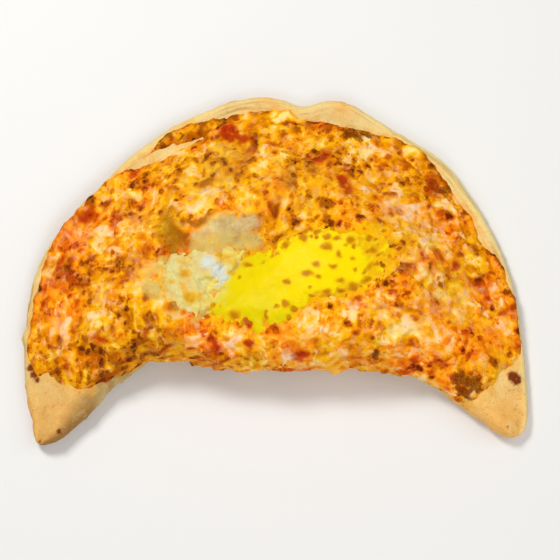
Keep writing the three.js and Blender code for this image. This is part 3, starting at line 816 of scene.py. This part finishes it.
def crust_look(s):
    """Baked dough: pale gold, toasted by the mesh's own values, more near the floor as partly painted
    shade, with flour, specks and flaky lines, painted shade on the left horn and a painted highlight along
    the rim's right edge.
    """
    material, t = new_look("baked_crust")
    place = t.place()
    cloud = t.grain(place, 60.0, 4.0) - 0.5
    fine = t.grain(place, 700.0, 3.0) - 0.5
    blotch = t.grain(place, 170.0, 5.0, 0.65) - 0.5
    specks = t.grain(place, 620.0, 2.0).eased(0.6, 0.7)
    toast = t.attribute("toast")
    colour = t.tint(s.pale, s.baked, (0.45 + cloud * 1.1 + fine * 0.7).clamped())
    colour = t.tint(colour, s.toasted, (toast + cloud * 0.6 * toast).clamped())
    # Painted shade over the left horn, then the oil stain
    colour = t.veiled(colour, (
        ("shade", s.painted_shade, cloud * 0.4, 0.0, 1.1, 0.85),
        ("stain", s.oil, fine * 0.5, 0.3, 1.1, 0.5),
    ))
    colour = t.tint(colour, s.speck, blotch.eased(0.02, 0.25) * (0.15 + 0.5 * toast))
    colour = t.tint(colour, s.pale, blotch.eased(0.02, -0.22) * 0.3)
    # Painted highlight along the rim's right edge, and pale patches by the left horn's fold
    colour = t.tint(colour, s.pale, t.attribute("brink") * 0.6)
    colour = t.veiled(colour, (("scorch", s.scorched, fine * 0.6 + blotch * 0.8, 0.15, 0.75, 1.0),))
    colour = t.tint(colour, s.scorched, t.attribute("lines") * 0.32)
    colour = t.tint(colour, s.speck, specks * (0.25 + 0.4 * toast))
    height = fine * 0.6 + t.grain(place, 260.0, 2.0) + blotch
    finish_look(t, Base_Color=colour, Roughness=0.72 + fine * 0.3, IOR=1.45, Specular_IOR_Level=0.15,
                Normal=t.bump(height, 0.0006, 0.6))
    return material


def topping_look(s):
    """Melted topping: each place has a toasting tone, from cream over gold and ochre to dark brown,
    darker on small discs, and a warmth that leads from the golden run of colours to the rosy one. Lumps,
    sauce, cream smears, egg, burnt cheese and an olive painted shade in the dent beside the egg lie over
    that by the mesh's own values, broken up by fine noise, with wet glints."""
    material, t = new_look("melted_topping")
    place = t.place()
    stirred = t.stirred(place, 400.0, 0.003)
    fine = t.grain(place, 900.0, 2.0, 0.6) - 0.5
    small = t.grain(place, 320.0, 3.0, 0.6) - 0.5
    net = t.grain(stirred, 230.0, 2.0, 0.5).eased(0.46, 0.64) - 0.4
    streaks = t.grain(place, 130.0, 4.0, 0.65)
    crowd = t.attribute("crowd")
    tone = t.attribute("tone") + small * 0.24 + fine * 0.22
    discs = 0.0
    for size, dark in ((0.0058, 0.25), (0.0036, 0.17)):
        away, odds = t.cells(stirred, size)
        disc = away.eased(0.42, 0.28) * (crowd - odds).eased(0.0, 0.15)
        tone = tone + disc * dark - away.eased(0.16, 0.0) * disc * 0.10
        discs = discs + disc
    tone = (tone - crowd * 0.09).clamped()
    gold = tone.ramp(s.gold_light, s.gold_mid, s.gold_deep, s.gold_brown, s.gold_dark)
    rose = tone.ramp(s.rose_light, s.rose_mid, s.rose_deep, s.rose_brown, s.rose_dark)
    colour = t.tint(gold, rose, (t.attribute("warm") + small * 0.5).clamped())
    clear = (1.15 - discs * 0.6 - tone * 1.3).clamped()
    plain = (1.1 - tone * 0.9).clamped()
    between = (1.0 - discs * 0.8).clamped()
    cream = t.tint(s.smear, s.cream, (streaks * 3.2 - 1.1 + small * 1.6 + fine).clamped())
    milk = t.tint(s.milk, s.yolky, (small * 2.4 + 0.2).clamped())
    char = t.tint(s.burnt, s.gold_brown, (fine * 2.4 + 0.22).clamped())
    colour = t.veiled(colour, (
        ("cream", s.lump, net * 0.6 + small * 0.8, 0.05, 1.0, clear * 0.8),
        ("dull", s.dull, net * 0.4 + small * 0.8, 0.1, 1.0, plain * 0.62),
        ("rosy", s.rosy, net * 0.5 + small * 0.8, 0.1, 1.0, plain * 0.45),
        ("sauce", s.sauce, small * 0.5, 0.25, 1.0, 0.88),
        ("smear", cream, small * 0.9, 0.1, 0.95, 0.92),
        ("yolky", s.yolky, small * 0.8, 0.15, 0.9, between * 0.85),
        ("milky", milk, small * 0.8, 0.15, 0.85, 0.85),
        # Olive painted shade in the dent beside the egg
        ("hollow", s.olive, small * 0.8, 0.0, 1.1, 0.9),
        ("burnt", char, fine * 1.2 + small * 1.6, 0.15, 1.0, 0.94),
    ))
    glint = t.grain(place, 480.0, 2.0).eased(0.6, 0.72)
    height = fine * 0.5 + small + discs * 0.5
    finish_look(t, Base_Color=colour, Roughness=0.4 + tone * 0.15 + small * 0.3, IOR=1.45,
                Specular_IOR_Level=0.04, Coat_Weight=glint * 0.35, Coat_Roughness=0.22,
                Normal=t.bump(height, 0.0008, 0.6))
    return material


def white_look(s):
    """Set egg white: milky, bluish where it is thin, yellow near the yolk, with cheese showing through."""
    material, t = new_look("egg_white")
    place = t.place()
    cloud = t.grain(place, 130.0, 4.0) - 0.5
    fine = t.grain(place, 520.0, 3.0) - 0.5
    colour = t.tint(s.white, s.cream, (cloud * 3.5 + fine * 1.2 + 0.4).clamped())
    colour = t.veiled(colour, (
        ("veil", s.brim, cloud * 0.8 + fine * 0.4, 0.35, 1.1, 0.7),
        ("yellow", s.yolk, cloud * 0.9 + fine * 0.7, 0.3, 1.1, 0.5),
        ("milky", s.blue, fine * 0.3, 0.2, 0.9, 1.0),
        ("brim", s.brim, fine * 1.2 + cloud * 0.8, 0.2, 0.9, 0.8),
        ("browned", s.brim, fine * 0.4, 0.1, 0.7, 0.8),
        ("browned", s.speck, fine * 0.4, 0.5, 1.1, 0.5),
    ))
    finish_look(t, Base_Color=colour, Roughness=0.34 + cloud * 0.2, IOR=1.4, Specular_IOR_Level=0.08,
                Normal=t.bump(cloud + fine * 0.4, 0.0008, 0.5))
    return material


def yolk_look(s):
    """Set yolk: strong yellow, a little deeper at its edge and deeper over its left side, with browned
    specks.
    """
    material, t = new_look("egg_yolk")
    place = t.place()
    cloud = t.grain(place, 110.0, 4.0) - 0.5
    fine = t.grain(place, 600.0, 3.0) - 0.5
    colour = t.tint(s.yolk, s.deep, (t.attribute("edge") * 0.8 + cloud * 0.9).clamped())
    colour = t.veiled(colour, (
        ("pale", s.white, fine * 0.8 + cloud, 0.2, 1.1, 0.7),
        ("brim", s.brim, fine * 0.8, 0.35, 1.0, 0.8),
        ("browned", s.brim, fine * 0.4, 0.05, 0.6, 0.6),
        ("browned", s.speck, fine * 0.4, 0.25, 0.95, 0.88),
    ))
    finish_look(t, Base_Color=colour, Roughness=0.4 + fine * 0.2, IOR=1.4, Specular_IOR_Level=0.08,
                Normal=t.bump(cloud + fine * 0.4, 0.0005, 0.4))
    return material


# The topping and the egg as heights over the dough


def outline_radius(outline, middle, angle):
    """Radius of an outline at an angle about its middle: straight runs between its points, softened by
    bells."""
    around = np.array(outline, float) - middle
    angles, radii = np.arctan2(around[:, 1], around[:, 0]), np.linalg.norm(around, axis=1)
    steps = np.arange(-OUTLINE_STEPS, OUTLINE_STEPS + 1) * OUTLINE_STEP
    weights = bell(steps, 0.0, OUTLINE_SOFT)
    spread = sum(w * np.interp(angle + t, angles, radii, period=2 * np.pi) for t, w in zip(steps, weights))
    return spread / weights.sum()


def egg_reach(outline, middle, points):
    """Share of an egg patch's reach: 0 in its middle, 1 at its outline."""
    dx, dy = points[..., 0] - middle[0], points[..., 1] - middle[1]
    return np.hypot(dx, dy) / outline_radius(outline, middle, np.arctan2(dy, dx))


def egg_grid(outline, middle, rings):
    """The dough under an egg patch: rings scaled out from its middle past its outline."""
    angle = (np.arange(EGG_SPOKES) / EGG_SPOKES * 2 * np.pi)[None, :]
    share = np.linspace(*EGG_SPAN, rings)[:, None]
    radius = share * outline_radius(outline, middle, angle)
    u, side = place_over(middle[0] + radius * np.cos(angle), middle[1] + radius * np.sin(angle))
    return crust_point(u, side), crust_out(u, side), np.broadcast_to(share, u.shape)


def melted_inset(u, side, foot):
    """Distance inside the melted edge: the least of those from the bare rim, the horns, the hanging edge
    and the bare tongue, with lobes of noise. Also the unrolled plan, y less the drop from the section's
    crest near the fold, the run from the fold's nose, and the distance from the horns' bare ends."""
    fold, _, w = section(u)
    d = np.linalg.norm(foot[..., :2] - fold, axis=-1)
    run = np.hypot(d, foot[..., 2] - nose_height(u)) * np.where(side < 0, -1, 1)
    x, y, z = np.moveaxis(foot, -1, 0)
    near = fade(d, *UNROLLED)
    flat = np.stack([x, y - near * (z.max(axis=1, keepdims=True) - z)], axis=-1)
    by_rim = w - d - along(BARE_RIM, plan_angle(x, y))
    by_end = 0.8 * (y - along(END_LINE, x))
    by_fold = run + HANG - waves(BARE_FOLD, x) + 2 * noise(flat, 11.0, 3)
    inset = np.minimum.reduce([by_rim, by_end, by_fold, track(TONGUE, foot)])
    return inset + bumps(flat, EDGE_LOBES, 1), flat, run, by_end


def ring(height, tone):
    """How browned a dome is: rising softly from outside its foot to its crown, more for a higher tone."""
    return ease(height, -1.2, 1.0) * (0.2 + 0.8 * tone)


def band(path, points, soft):
    """1 on a path of half widths, falling smoothly to 0 over a soft margin on both sides of its edge."""
    return fade(track(path, points), -soft, soft)


def strands(points, size, width, kind):
    """Thin winding lines: the places where a noise is near zero."""
    return fade(np.abs(noise(points, size, kind)), 0.0, width)


def topping_fields(flat, inset):
    """Relief and looks of the topping over its unrolled plan. Its tone is a sum of noise in two sizes,
    cells that are light between, browned domes in two sizes, pale strands, creases darkened as painted
    shade, and zones paler or browner, one paler zone painted light and two browner ones partly painted
    shade."""
    bent = warped(flat, *BENT)
    soft = warped(warped(flat, *SOFT), *SOFTER)
    loose = warped(flat, *LOOSE)
    smear = np.maximum(band(SMEAR_BAND, loose, SMEAR_SOFT), patches(SMEAR_SPOTS, loose))
    smear = smear * (1.1 + 0.3 * rough(bent, 7.0, 52))
    lobe = band(LOBE, bent, LOBE_SOFT)
    brow = bell(track(LOBE, bent), 2.2, 1.0)
    # The dent beside the egg: its darker tone and olive veil are painted shade
    hollow = band(HOLLOW_BAND, loose, HOLLOW_SOFT)
    crescent = band(CRESCENT, bent, CRESCENT_SOFT)
    calm = np.clip(1 - 0.8 * smear - 0.8 * hollow - lobe, 0, 1)
    sauce = patches(SAUCE_SPOTS, bent) * (0.75 + 0.6 * rough(flat, 6.0, 40))
    sauce = np.clip(sauce + 0.5 * ease(rough(bent, 15.0, 45), 0.3, 1.0), 0, 1) * calm
    sauce = np.maximum(sauce, band(RED_BAND, loose, RED_SOFT) * (0.9 + 0.6 * rough(flat, 4.0, 43)))
    pale_zone, brown_zone = patches(PALE_SPOTS, bent), patches(BROWN_SPOTS, bent)
    smooth = patches(SMOOTH_SPOTS, bent)
    crowd = np.clip(0.5 + 0.55 * brown_zone + 0.4 * noise(flat, 17.0, 48) - 0.35 * pale_zone, 0, 1)
    crowd = crowd * calm * (1 - smooth)
    lumps, tint = domes(bent, *LUMP_DOMES, 0.1 + 0.5 * pale_zone, 60)
    cells, shade = domes(bent, *CELL_DOMES, 2.0, 70)
    large, large_tone = domes(soft, *LARGE_DOMES, 1.2 * crowd, 80)
    small, small_tone = domes(soft, *SMALL_DOMES, 0.8 * crowd, 90)
    lump = ease(lumps, -0.5, 0.7)
    blister = np.maximum(ring(large, large_tone), 0.5 * ring(small, small_tone))
    smudge = ease(rough(bent, 10.0, 95), 0.2, 1.0) * calm
    shreds = strands(bent, 9.0, 0.2, 180) * ease(noise(flat, 20.0, 185), -0.2, 0.5) * calm
    shreds = shreds * ease(inset, 3.0, 9.0)
    creases = strands(bent, 7.0, 0.12, 190) * ease(noise(flat, 14.0, 195), -0.1, 0.5) * calm
    edge = fade(inset, 0.2, 2.4)
    burnt = patches(BURNT_SPOTS, bent) * (0.8 + 0.8 * rough(flat, 4.0, 105))
    burnt = burnt + 0.4 * edge * rough(flat, 12.0, 110)
    mottle = np.clip(0.8 + 0.6 * rough(bent, 5.0, 50), 0, 2)
    tone = 0.26 + 0.13 * rough(flat, 16.0, 140) + 0.15 * rough(bent, 5.0, 145) + 0.17 * brown_zone
    tone += (0.12 * cells + 0.24 * (shade - 0.5) * ease(cells, 0.0, 0.7)) * calm * (1 - smooth)
    tone += 0.5 * blister - 0.22 * pale_zone * mottle - 0.12 * lump
    tone += 0.3 * smudge + 0.12 * sauce + 0.2 * hollow + 0.45 * crescent + 0.3 * edge
    # The creases' darker tone is painted shade in them
    tone += 0.2 * creases - 0.2 * shreds - 0.25 * lobe + 0.3 * brow
    crowns = sum(high * np.sqrt(np.maximum(v, 0)) for v, high in ((large, 1.0), (small, 0.6), (lumps, 0.7)))
    relief = bumps(flat, TOPPING_BUMPS) - 0.5 * sauce - 2.0 * hollow + crowns
    relief += 0.5 * shreds - 0.4 * creases + 0.8 * lobe
    warm = 0.35 + zones(WARM_SPOTS, flat) + 0.55 * rough(flat, 14.0, 150) + 0.3 * (tint - 0.5)
    looks = {
        "tone": np.minimum(tone, DARKEST),
        "blister": blister,
        "warm": warm + 0.4 * sauce - smear,
        "sauce": sauce,
        "crowd": crowd - 0.5 * sauce,
        "cream": (0.55 * pale_zone * mottle + 0.7 * lump + 0.6 * shreds - 0.6 * blister) * calm,
        "smear": smear,
        "hollow": np.maximum(hollow, 0.8 * crescent),
        "burnt": burnt,
        "rosy": patches(ROSY_SPOTS, bent),
        "dull": patches(DULL_SPOTS, bent),
    }
    return relief, looks


def topping_lift(flat, foot, inset, ends, thick):
    """Height of the topping over the dough: its thickness and relief inside the edge, rounded down to
    below the dough outside it, thinner on the horns, and thinning gently towards the egg, so that its
    lumps stand through the egg's margin. Also its looks, with what the egg has run over and a dull film
    at the right horn."""
    relief, looks = topping_fields(flat, inset)
    blister = looks.pop("blister")
    ragged = bumps(flat, EGG_LOBES, 1)
    yolk = egg_reach(YOLK, YOLK_MIDDLE, foot) + ragged
    white = egg_reach(WHITE, WHITE_MIDDLE, foot) + ragged
    thin = np.maximum(fade(ends, 0.0, 16.0), 0.7 * fade(track(TONGUE, foot), 0.0, 14.0))
    full = np.maximum((thick + relief) * (1 - 0.7 * thin), 1.5 - 0.6 * thin)
    full = mix(1.0, full, ease(np.minimum(yolk, white), 0.55, 1.3))
    patchy = 0.85 + 0.6 * noise(flat, 4.0, 170)
    beside = mix(0.3, 1, ease(foot[..., 1], 2.0, 14.0))
    milky = fade(white, 0.98, 1.4) * (0.7 + 0.7 * noise(flat, 5.0, 175)) - 0.8 * looks["hollow"]
    film = 1.3 * fade(ends, 0.0, 7.0) * ease(foot[..., 0], 90.0, 112.0)
    looks["yolky"] = fade(yolk, 0.95, 1.3) * patchy * beside - 0.9 * blister
    looks["milky"] = np.maximum(milky, band(MILK_BAND, flat, MILK_SOFT)) - 0.4 * blister
    looks["dull"] = np.maximum(looks["dull"], film * patchy)
    rise = np.sqrt(ease(inset, 0.0, mix(EDGE_ROUND, THIN_ROUND, thin)))
    return mix(BURIED, full, rise), looks


def egg_piece(name, node, outline, middle, top, looks, material):
    """An egg patch: its upper side over a plain underside just above the dough."""
    low, down, _ = egg_grid(outline, middle, EGG_UNDER)
    new_piece(name, node, *closed(top, low + EGG_FLOOR * down, looks, 0), material)


# Settings


def colour_setting(name, thing, *shade):
    """The colour of a thing, with a default given as a screen colour in 0 to 255."""
    return FloatVectorProperty(name=name, description=f"Colour of {thing}", subtype="COLOR",
                               default=paint(*shade))


def length_setting(name, description, default):
    """A length in metres."""
    return FloatProperty(name=name, description=description, subtype="DISTANCE", unit="LENGTH",
                         default=default)


class CrustSettings(PropertyGroup):
    """Sizes and colours of the baked dough."""

    pale: colour_setting("Pale", "the lightest dough", 234, 213, 146)
    baked: colour_setting("Baked", "the baked dough", 226, 194, 118)
    toasted: colour_setting("Toasted", "the toasted horns", 236, 172, 82)
    # Colour of the painted shade on the left horn
    painted_shade: colour_setting("Painted shade", "painted shade on the left horn", 128, 88, 38)
    scorched: colour_setting("Scorched", "browned spots", 118, 46, 0)
    oil: colour_setting("Oil", "dough soaked by the topping", 232, 164, 48)
    speck: colour_setting("Speck", "the fine specks on the dough", 188, 122, 64)
    bubbles: length_setting("Bubbles", "Height of the crust's bubbles", 0.0006)


class ToppingSettings(PropertyGroup):
    """Sizes and colours of the melted topping."""

    thick: length_setting("Thickness", "Mean thickness of the topping", 0.0032)
    gold_light: colour_setting("Light gold", "the palest cheese", 255, 222, 130)
    gold_mid: colour_setting("Gold", "the melted cheese", 250, 186, 20)
    gold_deep: colour_setting("Deep gold", "the toasted cheese", 228, 144, 0)
    gold_brown: colour_setting("Golden brown", "the browned cheese", 178, 94, 0)
    gold_dark: colour_setting("Dark brown", "the darkest cheese", 98, 44, 0)
    rose_light: colour_setting("Light rose", "pale lumps stained by sauce", 255, 206, 150)
    rose_mid: colour_setting("Rose", "cheese stained by sauce", 255, 160, 30)
    rose_deep: colour_setting("Orange", "toasted cheese over sauce", 244, 124, 4)
    rose_brown: colour_setting("Rust", "browned cheese over sauce", 204, 76, 0)
    rose_dark: colour_setting("Dark rust", "the darkest stained cheese", 110, 30, 4)
    lump: colour_setting("Lump", "pale lumps and shreds", 255, 211, 166)
    sauce: colour_setting("Sauce", "the tomato sauce", 176, 39, 1)
    smear: colour_setting("Smear", "the cream smears by the egg", 178, 150, 96)
    cream: colour_setting("Cream", "the lightest smears", 212, 189, 136)
    milk: colour_setting("Milk", "the topping that egg white has run over", 196, 174, 104)
    # Colour of the painted shade in the dent beside the egg
    olive: colour_setting("Olive", "the hollow beside the egg", 156, 102, 4)
    rosy: colour_setting("Rosy", "the rosy veil", 236, 156, 112)
    dull: colour_setting("Dull", "the olive veil", 200, 152, 52)
    burnt: colour_setting("Burnt", "the burnt cheese", 96, 38, 2)
    yolky: colour_setting("Yolky", "the topping beside the yolk", 238, 180, 4)


class EggSettings(PropertyGroup):
    """Sizes and colours of the egg."""

    yolk_high: length_setting("Yolk height", "Height of the yolk over its edge", 0.0016)
    yolk: colour_setting("Yolk", "the yolk", 240, 212, 0)
    deep: colour_setting("Deep yolk", "the yolk's edge", 206, 188, 0)
    brim: colour_setting("Brim", "places where the egg runs into the cheese", 226, 166, 8)
    speck: colour_setting("Speck", "the browned specks", 184, 110, 0)
    white: colour_setting("White", "the set white", 214, 204, 132)
    cream: colour_setting("Cream white", "the white over cheese", 216, 188, 116)
    blue: colour_setting("Milky white", "the thin milky white", 206, 211, 200)


class StageSettings(PropertyGroup):
    """Camera, light and floor."""

    elevation: FloatProperty(name="Elevation", description="Height of the camera over the horizon",
                             subtype="ANGLE", unit="ROTATION", default=np.radians(80.0))
    distance: length_setting("Distance", "Camera to the calzone", 1.6)
    framed: length_setting("Framed width", "Width that the picture covers", 0.3175)
    power: FloatProperty(name="Power", description="Power that the lights share out", subtype="POWER",
                         unit="POWER", default=9.2)
    floor: FloatVectorProperty(name="Floor", description="Colour of the floor", subtype="COLOR",
                               default=(0.78, 0.77, 0.75))


class CALZONE_OT_crust(Operator):
    """Make the folded dough with its rim, horns and fold"""

    bl_idname = "calzone.crust"
    bl_label = "Crust"

    def execute(self, context):
        s = context.scene.calzone_crust
        u, side = np.linspace(0, 1, CRUST_ROWS), loop_sides()
        body = crust_loop(u)
        points = np.concatenate([crust_cap(0, LEFT_CAP), body, crust_cap(1, RIGHT_CAP)])
        x, y, z = np.moveaxis(points, -1, 0)
        lines, reach = crust_lines(points)
        bubbles = np.sqrt(np.maximum(domes(points, *BUBBLE_DOMES, 0.5, 200)[0], 0))
        relief = s.bubbles / MM * bubbles + bumps(points, CRUST_BUMPS)
        relief += KNOB_HEIGHT * patches(TIP_KNOB, points) - 0.3 * lines
        points = points + grid_out(points) * (relief * ease(z, 0.3, 3.0))[..., None]
        points[..., 2] = np.maximum(points[..., 2], 0.0)
        inset = melted_inset(u[:, None], side[None, :], body[:, :len(side)])[0]
        soaked = 0.75 + 0.6 * rough(points, 6.0, 240)
        # Painted shade: darker on the left horn's side by the fold, and a weaker painted shade over the
        # whole left horn
        shade = fade(u, 0.08, 0.22)[:, None] * fade(side, 0.1, 0.55)[None, :]
        shade = np.maximum(shade, 0.3 * fade(u, 0.12, 0.26)[:, None])
        # Painted highlight: paler just inside the rim's edge on the right
        brink = fade(reach, 1.5, 4.0) * ease(x, 20.0, 90.0)
        # Toasted more towards the fold, and more near the floor: there partly a browner underside, partly
        # painted shade
        toast = 0.1 + 0.7 * ease(-y, 0.0, 45.0) + 0.35 * fade(z, 2.0, 7.0)
        looks = {
            "toast": toast + 0.6 * patches(TOAST_SPOTS, points),
            "scorch": patches(SCORCH_SPOTS, points),
            "lines": lines,
            "stain": over_crust(ease(inset, -6.0, 0.5)) * soaked * mix(1.0, 1.6, ease(x, 90.0, 112.0)),
            "shade": over_crust(shade),
            "brink": np.maximum(brink, patches(BRINK_SPOTS, points)),
        }
        new_piece("crust", "dough", points, looks, crust_look(s))
        return {"FINISHED"}


class CALZONE_OT_topping(Operator):
    """Make the melted topping over the dough"""

    bl_idname = "calzone.topping"
    bl_label = "Topping"

    def execute(self, context):
        s = context.scene.calzone_topping
        u = np.linspace(*TOPPING_ENDS, TOPPING_ROWS)[:, None]
        side = even_sides(u, TOPPING_COLUMNS)
        foot = crust_point(u, side)
        inset, flat, run, ends = melted_inset(u, side, foot)
        lift, looks = topping_lift(flat, foot, inset, ends, s.thick / MM)
        lift = lift + waves(DRIPS, foot[..., 0]) * bell(run, *DRIP_RUN)
        top = foot + crust_out(u, side) * lift[..., None]
        below = even_sides(u, TOPPING_UNDER)
        low = crust_point(u, below) - TOPPING_ROOT * crust_out(u, below)
        new_piece("topping", "cheese_topping", *closed(top, low, looks, 1), topping_look(s))
        return {"FINISHED"}


class CALZONE_OT_egg_white(Operator):
    """Make the set egg white"""

    bl_idname = "calzone.egg_white"
    bl_label = "Egg white"

    def execute(self, context):
        s = context.scene.calzone_egg
        foot, out, share = egg_grid(WHITE, WHITE_MIDDLE, EGG_RINGS)
        flat = foot[..., :2]
        bent = warped(flat, 4.0, 1.0, 325)
        edge = share + 0.16 * rough(flat, 8.0, 300)
        near = fade(egg_reach(YOLK, YOLK_MIDDLE, foot), 0.95, 1.5)
        around, tone = domes(bent, *WHITE_DOMES, 0.85 * ease(edge, 0.6, 1.0), 330)
        lumps = patches(WHITE_LUMPS, bent)
        lift = 3.4 + bumps(flat, WHITE_BUMPS) - 2.6 * ease(edge, 0.55, 1.35)
        lift = np.maximum(lift + 0.6 * np.sqrt(np.maximum(around, 0)) + 0.8 * lumps, EGG_LEAST)
        cheesy = (0.7 + 0.8 * noise(flat, 5.0, 350)) * mix(1, 0.2, ease(flat[..., 1], 34, 42))
        looks = {
            "yellow": near + 0.45 * rough(flat, 8.0, 335),
            "milky": patches(WHITE_MILK, bent),
            "veil": 0.3 + 0.9 * rough(warped(flat, 6.0, 2.0, 340), 7.0, 345),
            "browned": np.maximum(ring(around, tone), lumps),
            "brim": ease(edge, 0.55, 1.0) * (1 - near) * cheesy,
        }
        top = foot + out * lift[..., None]
        egg_piece("set_white", "egg_white", WHITE, WHITE_MIDDLE, top, looks, white_look(s))
        return {"FINISHED"}


class CALZONE_OT_egg_yolk(Operator):
    """Make the set yolk with its browned specks"""

    bl_idname = "calzone.egg_yolk"
    bl_label = "Egg yolk"

    def execute(self, context):
        s = context.scene.calzone_egg
        foot, out, share = egg_grid(YOLK, YOLK_MIDDLE, EGG_RINGS)
        flat = foot[..., :2]
        bent = warped(flat, 3.0, 0.8, 410)
        edge = share + 0.13 * rough(flat, 8.0, 400)
        specks = np.max([bell(np.hypot((bent[..., 0] - x) / wide, (bent[..., 1] - y) / high), 0.0, 1.2)
                         for x, y, wide, high in YOLK_SPECKS], axis=0)
        rightward = ease(flat[..., 0] + 0.5 * flat[..., 1], 0.0, 40.0)
        leftward = fade(flat[..., 0], -34.0, -8.0)
        crowd = ease(edge, 0.55, 0.85) * mix(0.4, 1.1, rightward)
        around, tone = domes(bent, *YOLK_DOMES, crowd, 430)
        lift = 3.0 + s.yolk_high / MM * (1 - edge**2) - 2.4 * ease(edge, 0.6, 1.4)
        lift += 0.3 * rough(flat, 7.0, 420) + 0.3 * specks + 0.4 * np.maximum(around, 0)
        lift = np.maximum(lift + 0.7 * rough(flat, 4.5, 425) * ease(edge, 0.6, 0.95), EGG_LEAST)
        looks = {
            # Deeper over the yolk's left side as well as at its edge
            "edge": 0.3 * ease(edge, 0.5, 1.05) + 0.6 * (1 - rightward),
            "browned": np.maximum(specks, ring(around, tone)),
            "brim": ease(edge, 0.62, 1.0) * mix(0.4, 1.0, rightward) * (0.85 + 0.9 * rough(flat, 5.0, 440)),
            "pale": ease(edge, 0.5, 1.0) * leftward * ease(flat[..., 1], 6.0, 24.0),
        }
        top = foot + out * lift[..., None]
        egg_piece("set_yolk", "egg_yolk", YOLK, YOLK_MIDDLE, top, looks, yolk_look(s))
        return {"FINISHED"}


class CALZONE_OT_stage(Operator):
    """Make the floor, the lights and the camera"""

    bl_idname = "calzone.stage"
    bl_label = "Stage"

    def execute(self, context):
        s = context.scene.calzone_stage
        scene = context.scene
        scene.view_settings.view_transform = "Standard"
        corners = [(x * FLOOR_HALF, y * FLOOR_HALF, 0.0) for x, y in ((-1, -1), (1, -1), (1, 1), (-1, 1))]
        mesh = bpy.data.meshes.new("floor")
        mesh.from_pydata(corners, [], [(0, 1, 2, 3)])
        material, t = new_look("floor")
        finish_look(t, Base_Color=(*s.floor, 1.0), Roughness=0.9)
        mesh.materials.append(material)
        floor = bpy.data.objects.new("floor", mesh)
        scene.collection.objects.link(floor)
        place = Vector(AIM) + s.distance * Vector((0.0, -np.cos(s.elevation), np.sin(s.elevation)))
        camera = bpy.data.objects.new("camera", bpy.data.cameras.new("camera"))
        camera.location = place
        camera.rotation_euler = facing(place, AIM)
        camera.data.sensor_width = SENSOR
        camera.data.lens = SENSOR * s.distance / s.framed
        scene.collection.objects.link(camera)
        scene.camera = camera
        for name, (where, size, share) in LIGHTS.items():
            light = bpy.data.lights.new(name, "AREA")
            light.size = size
            light.energy = share * s.power
            lamp = bpy.data.objects.new(name, light)
            lamp.location = where
            lamp.rotation_euler = facing(where, LIGHT_AIM)
            scene.collection.objects.link(lamp)
        world = bpy.data.worlds.new("studio")
        world.use_nodes = True
        sky = world.node_tree.nodes["Background"].inputs
        sky["Color"].default_value = (1, 1, 1, 1)
        sky["Strength"].default_value = SKY
        scene.world = world
        return {"FINISHED"}


class CALZONE_PT_panel(Panel):
    """The calzone's pieces"""

    bl_idname = "CALZONE_PT_panel"
    bl_label = "Calzone"
    bl_space_type = "VIEW_3D"
    bl_region_type = "UI"
    bl_category = "Calzone"

    def draw(self, context):
        for operator in OPERATORS:
            self.layout.operator(operator.bl_idname)
        for name in SETTINGS:
            group = getattr(context.scene, name)
            for key in group.__annotations__:
                self.layout.prop(group, key)


OPERATORS = (
    CALZONE_OT_crust, CALZONE_OT_topping, CALZONE_OT_egg_white, CALZONE_OT_egg_yolk, CALZONE_OT_stage,
)
SETTINGS = {
    "calzone_crust": CrustSettings,
    "calzone_topping": ToppingSettings,
    "calzone_egg": EggSettings,
    "calzone_stage": StageSettings,
}
SHIFT = plan_shift()


def register():
    """Registers the settings, the operators and the panel."""
    for name, group in SETTINGS.items():
        bpy.utils.register_class(group)
        setattr(bpy.types.Scene, name, PointerProperty(type=group))
    for cls in (*OPERATORS, CALZONE_PT_panel):
        bpy.utils.register_class(cls)


def unregister():
    """Removes the panel, the operators and the settings."""
    for cls in (CALZONE_PT_panel, *reversed(OPERATORS)):
        bpy.utils.unregister_class(cls)
    for name, group in SETTINGS.items():
        delattr(bpy.types.Scene, name)
        bpy.utils.unregister_class(group)


def main():
    """Makes the calzone and its stage."""
    register()
    bpy.ops.calzone.crust()
    bpy.ops.calzone.topping()
    bpy.ops.calzone.egg_white()
    bpy.ops.calzone.egg_yolk()
    bpy.ops.calzone.stage()


if __name__ == "__main__":
    main()
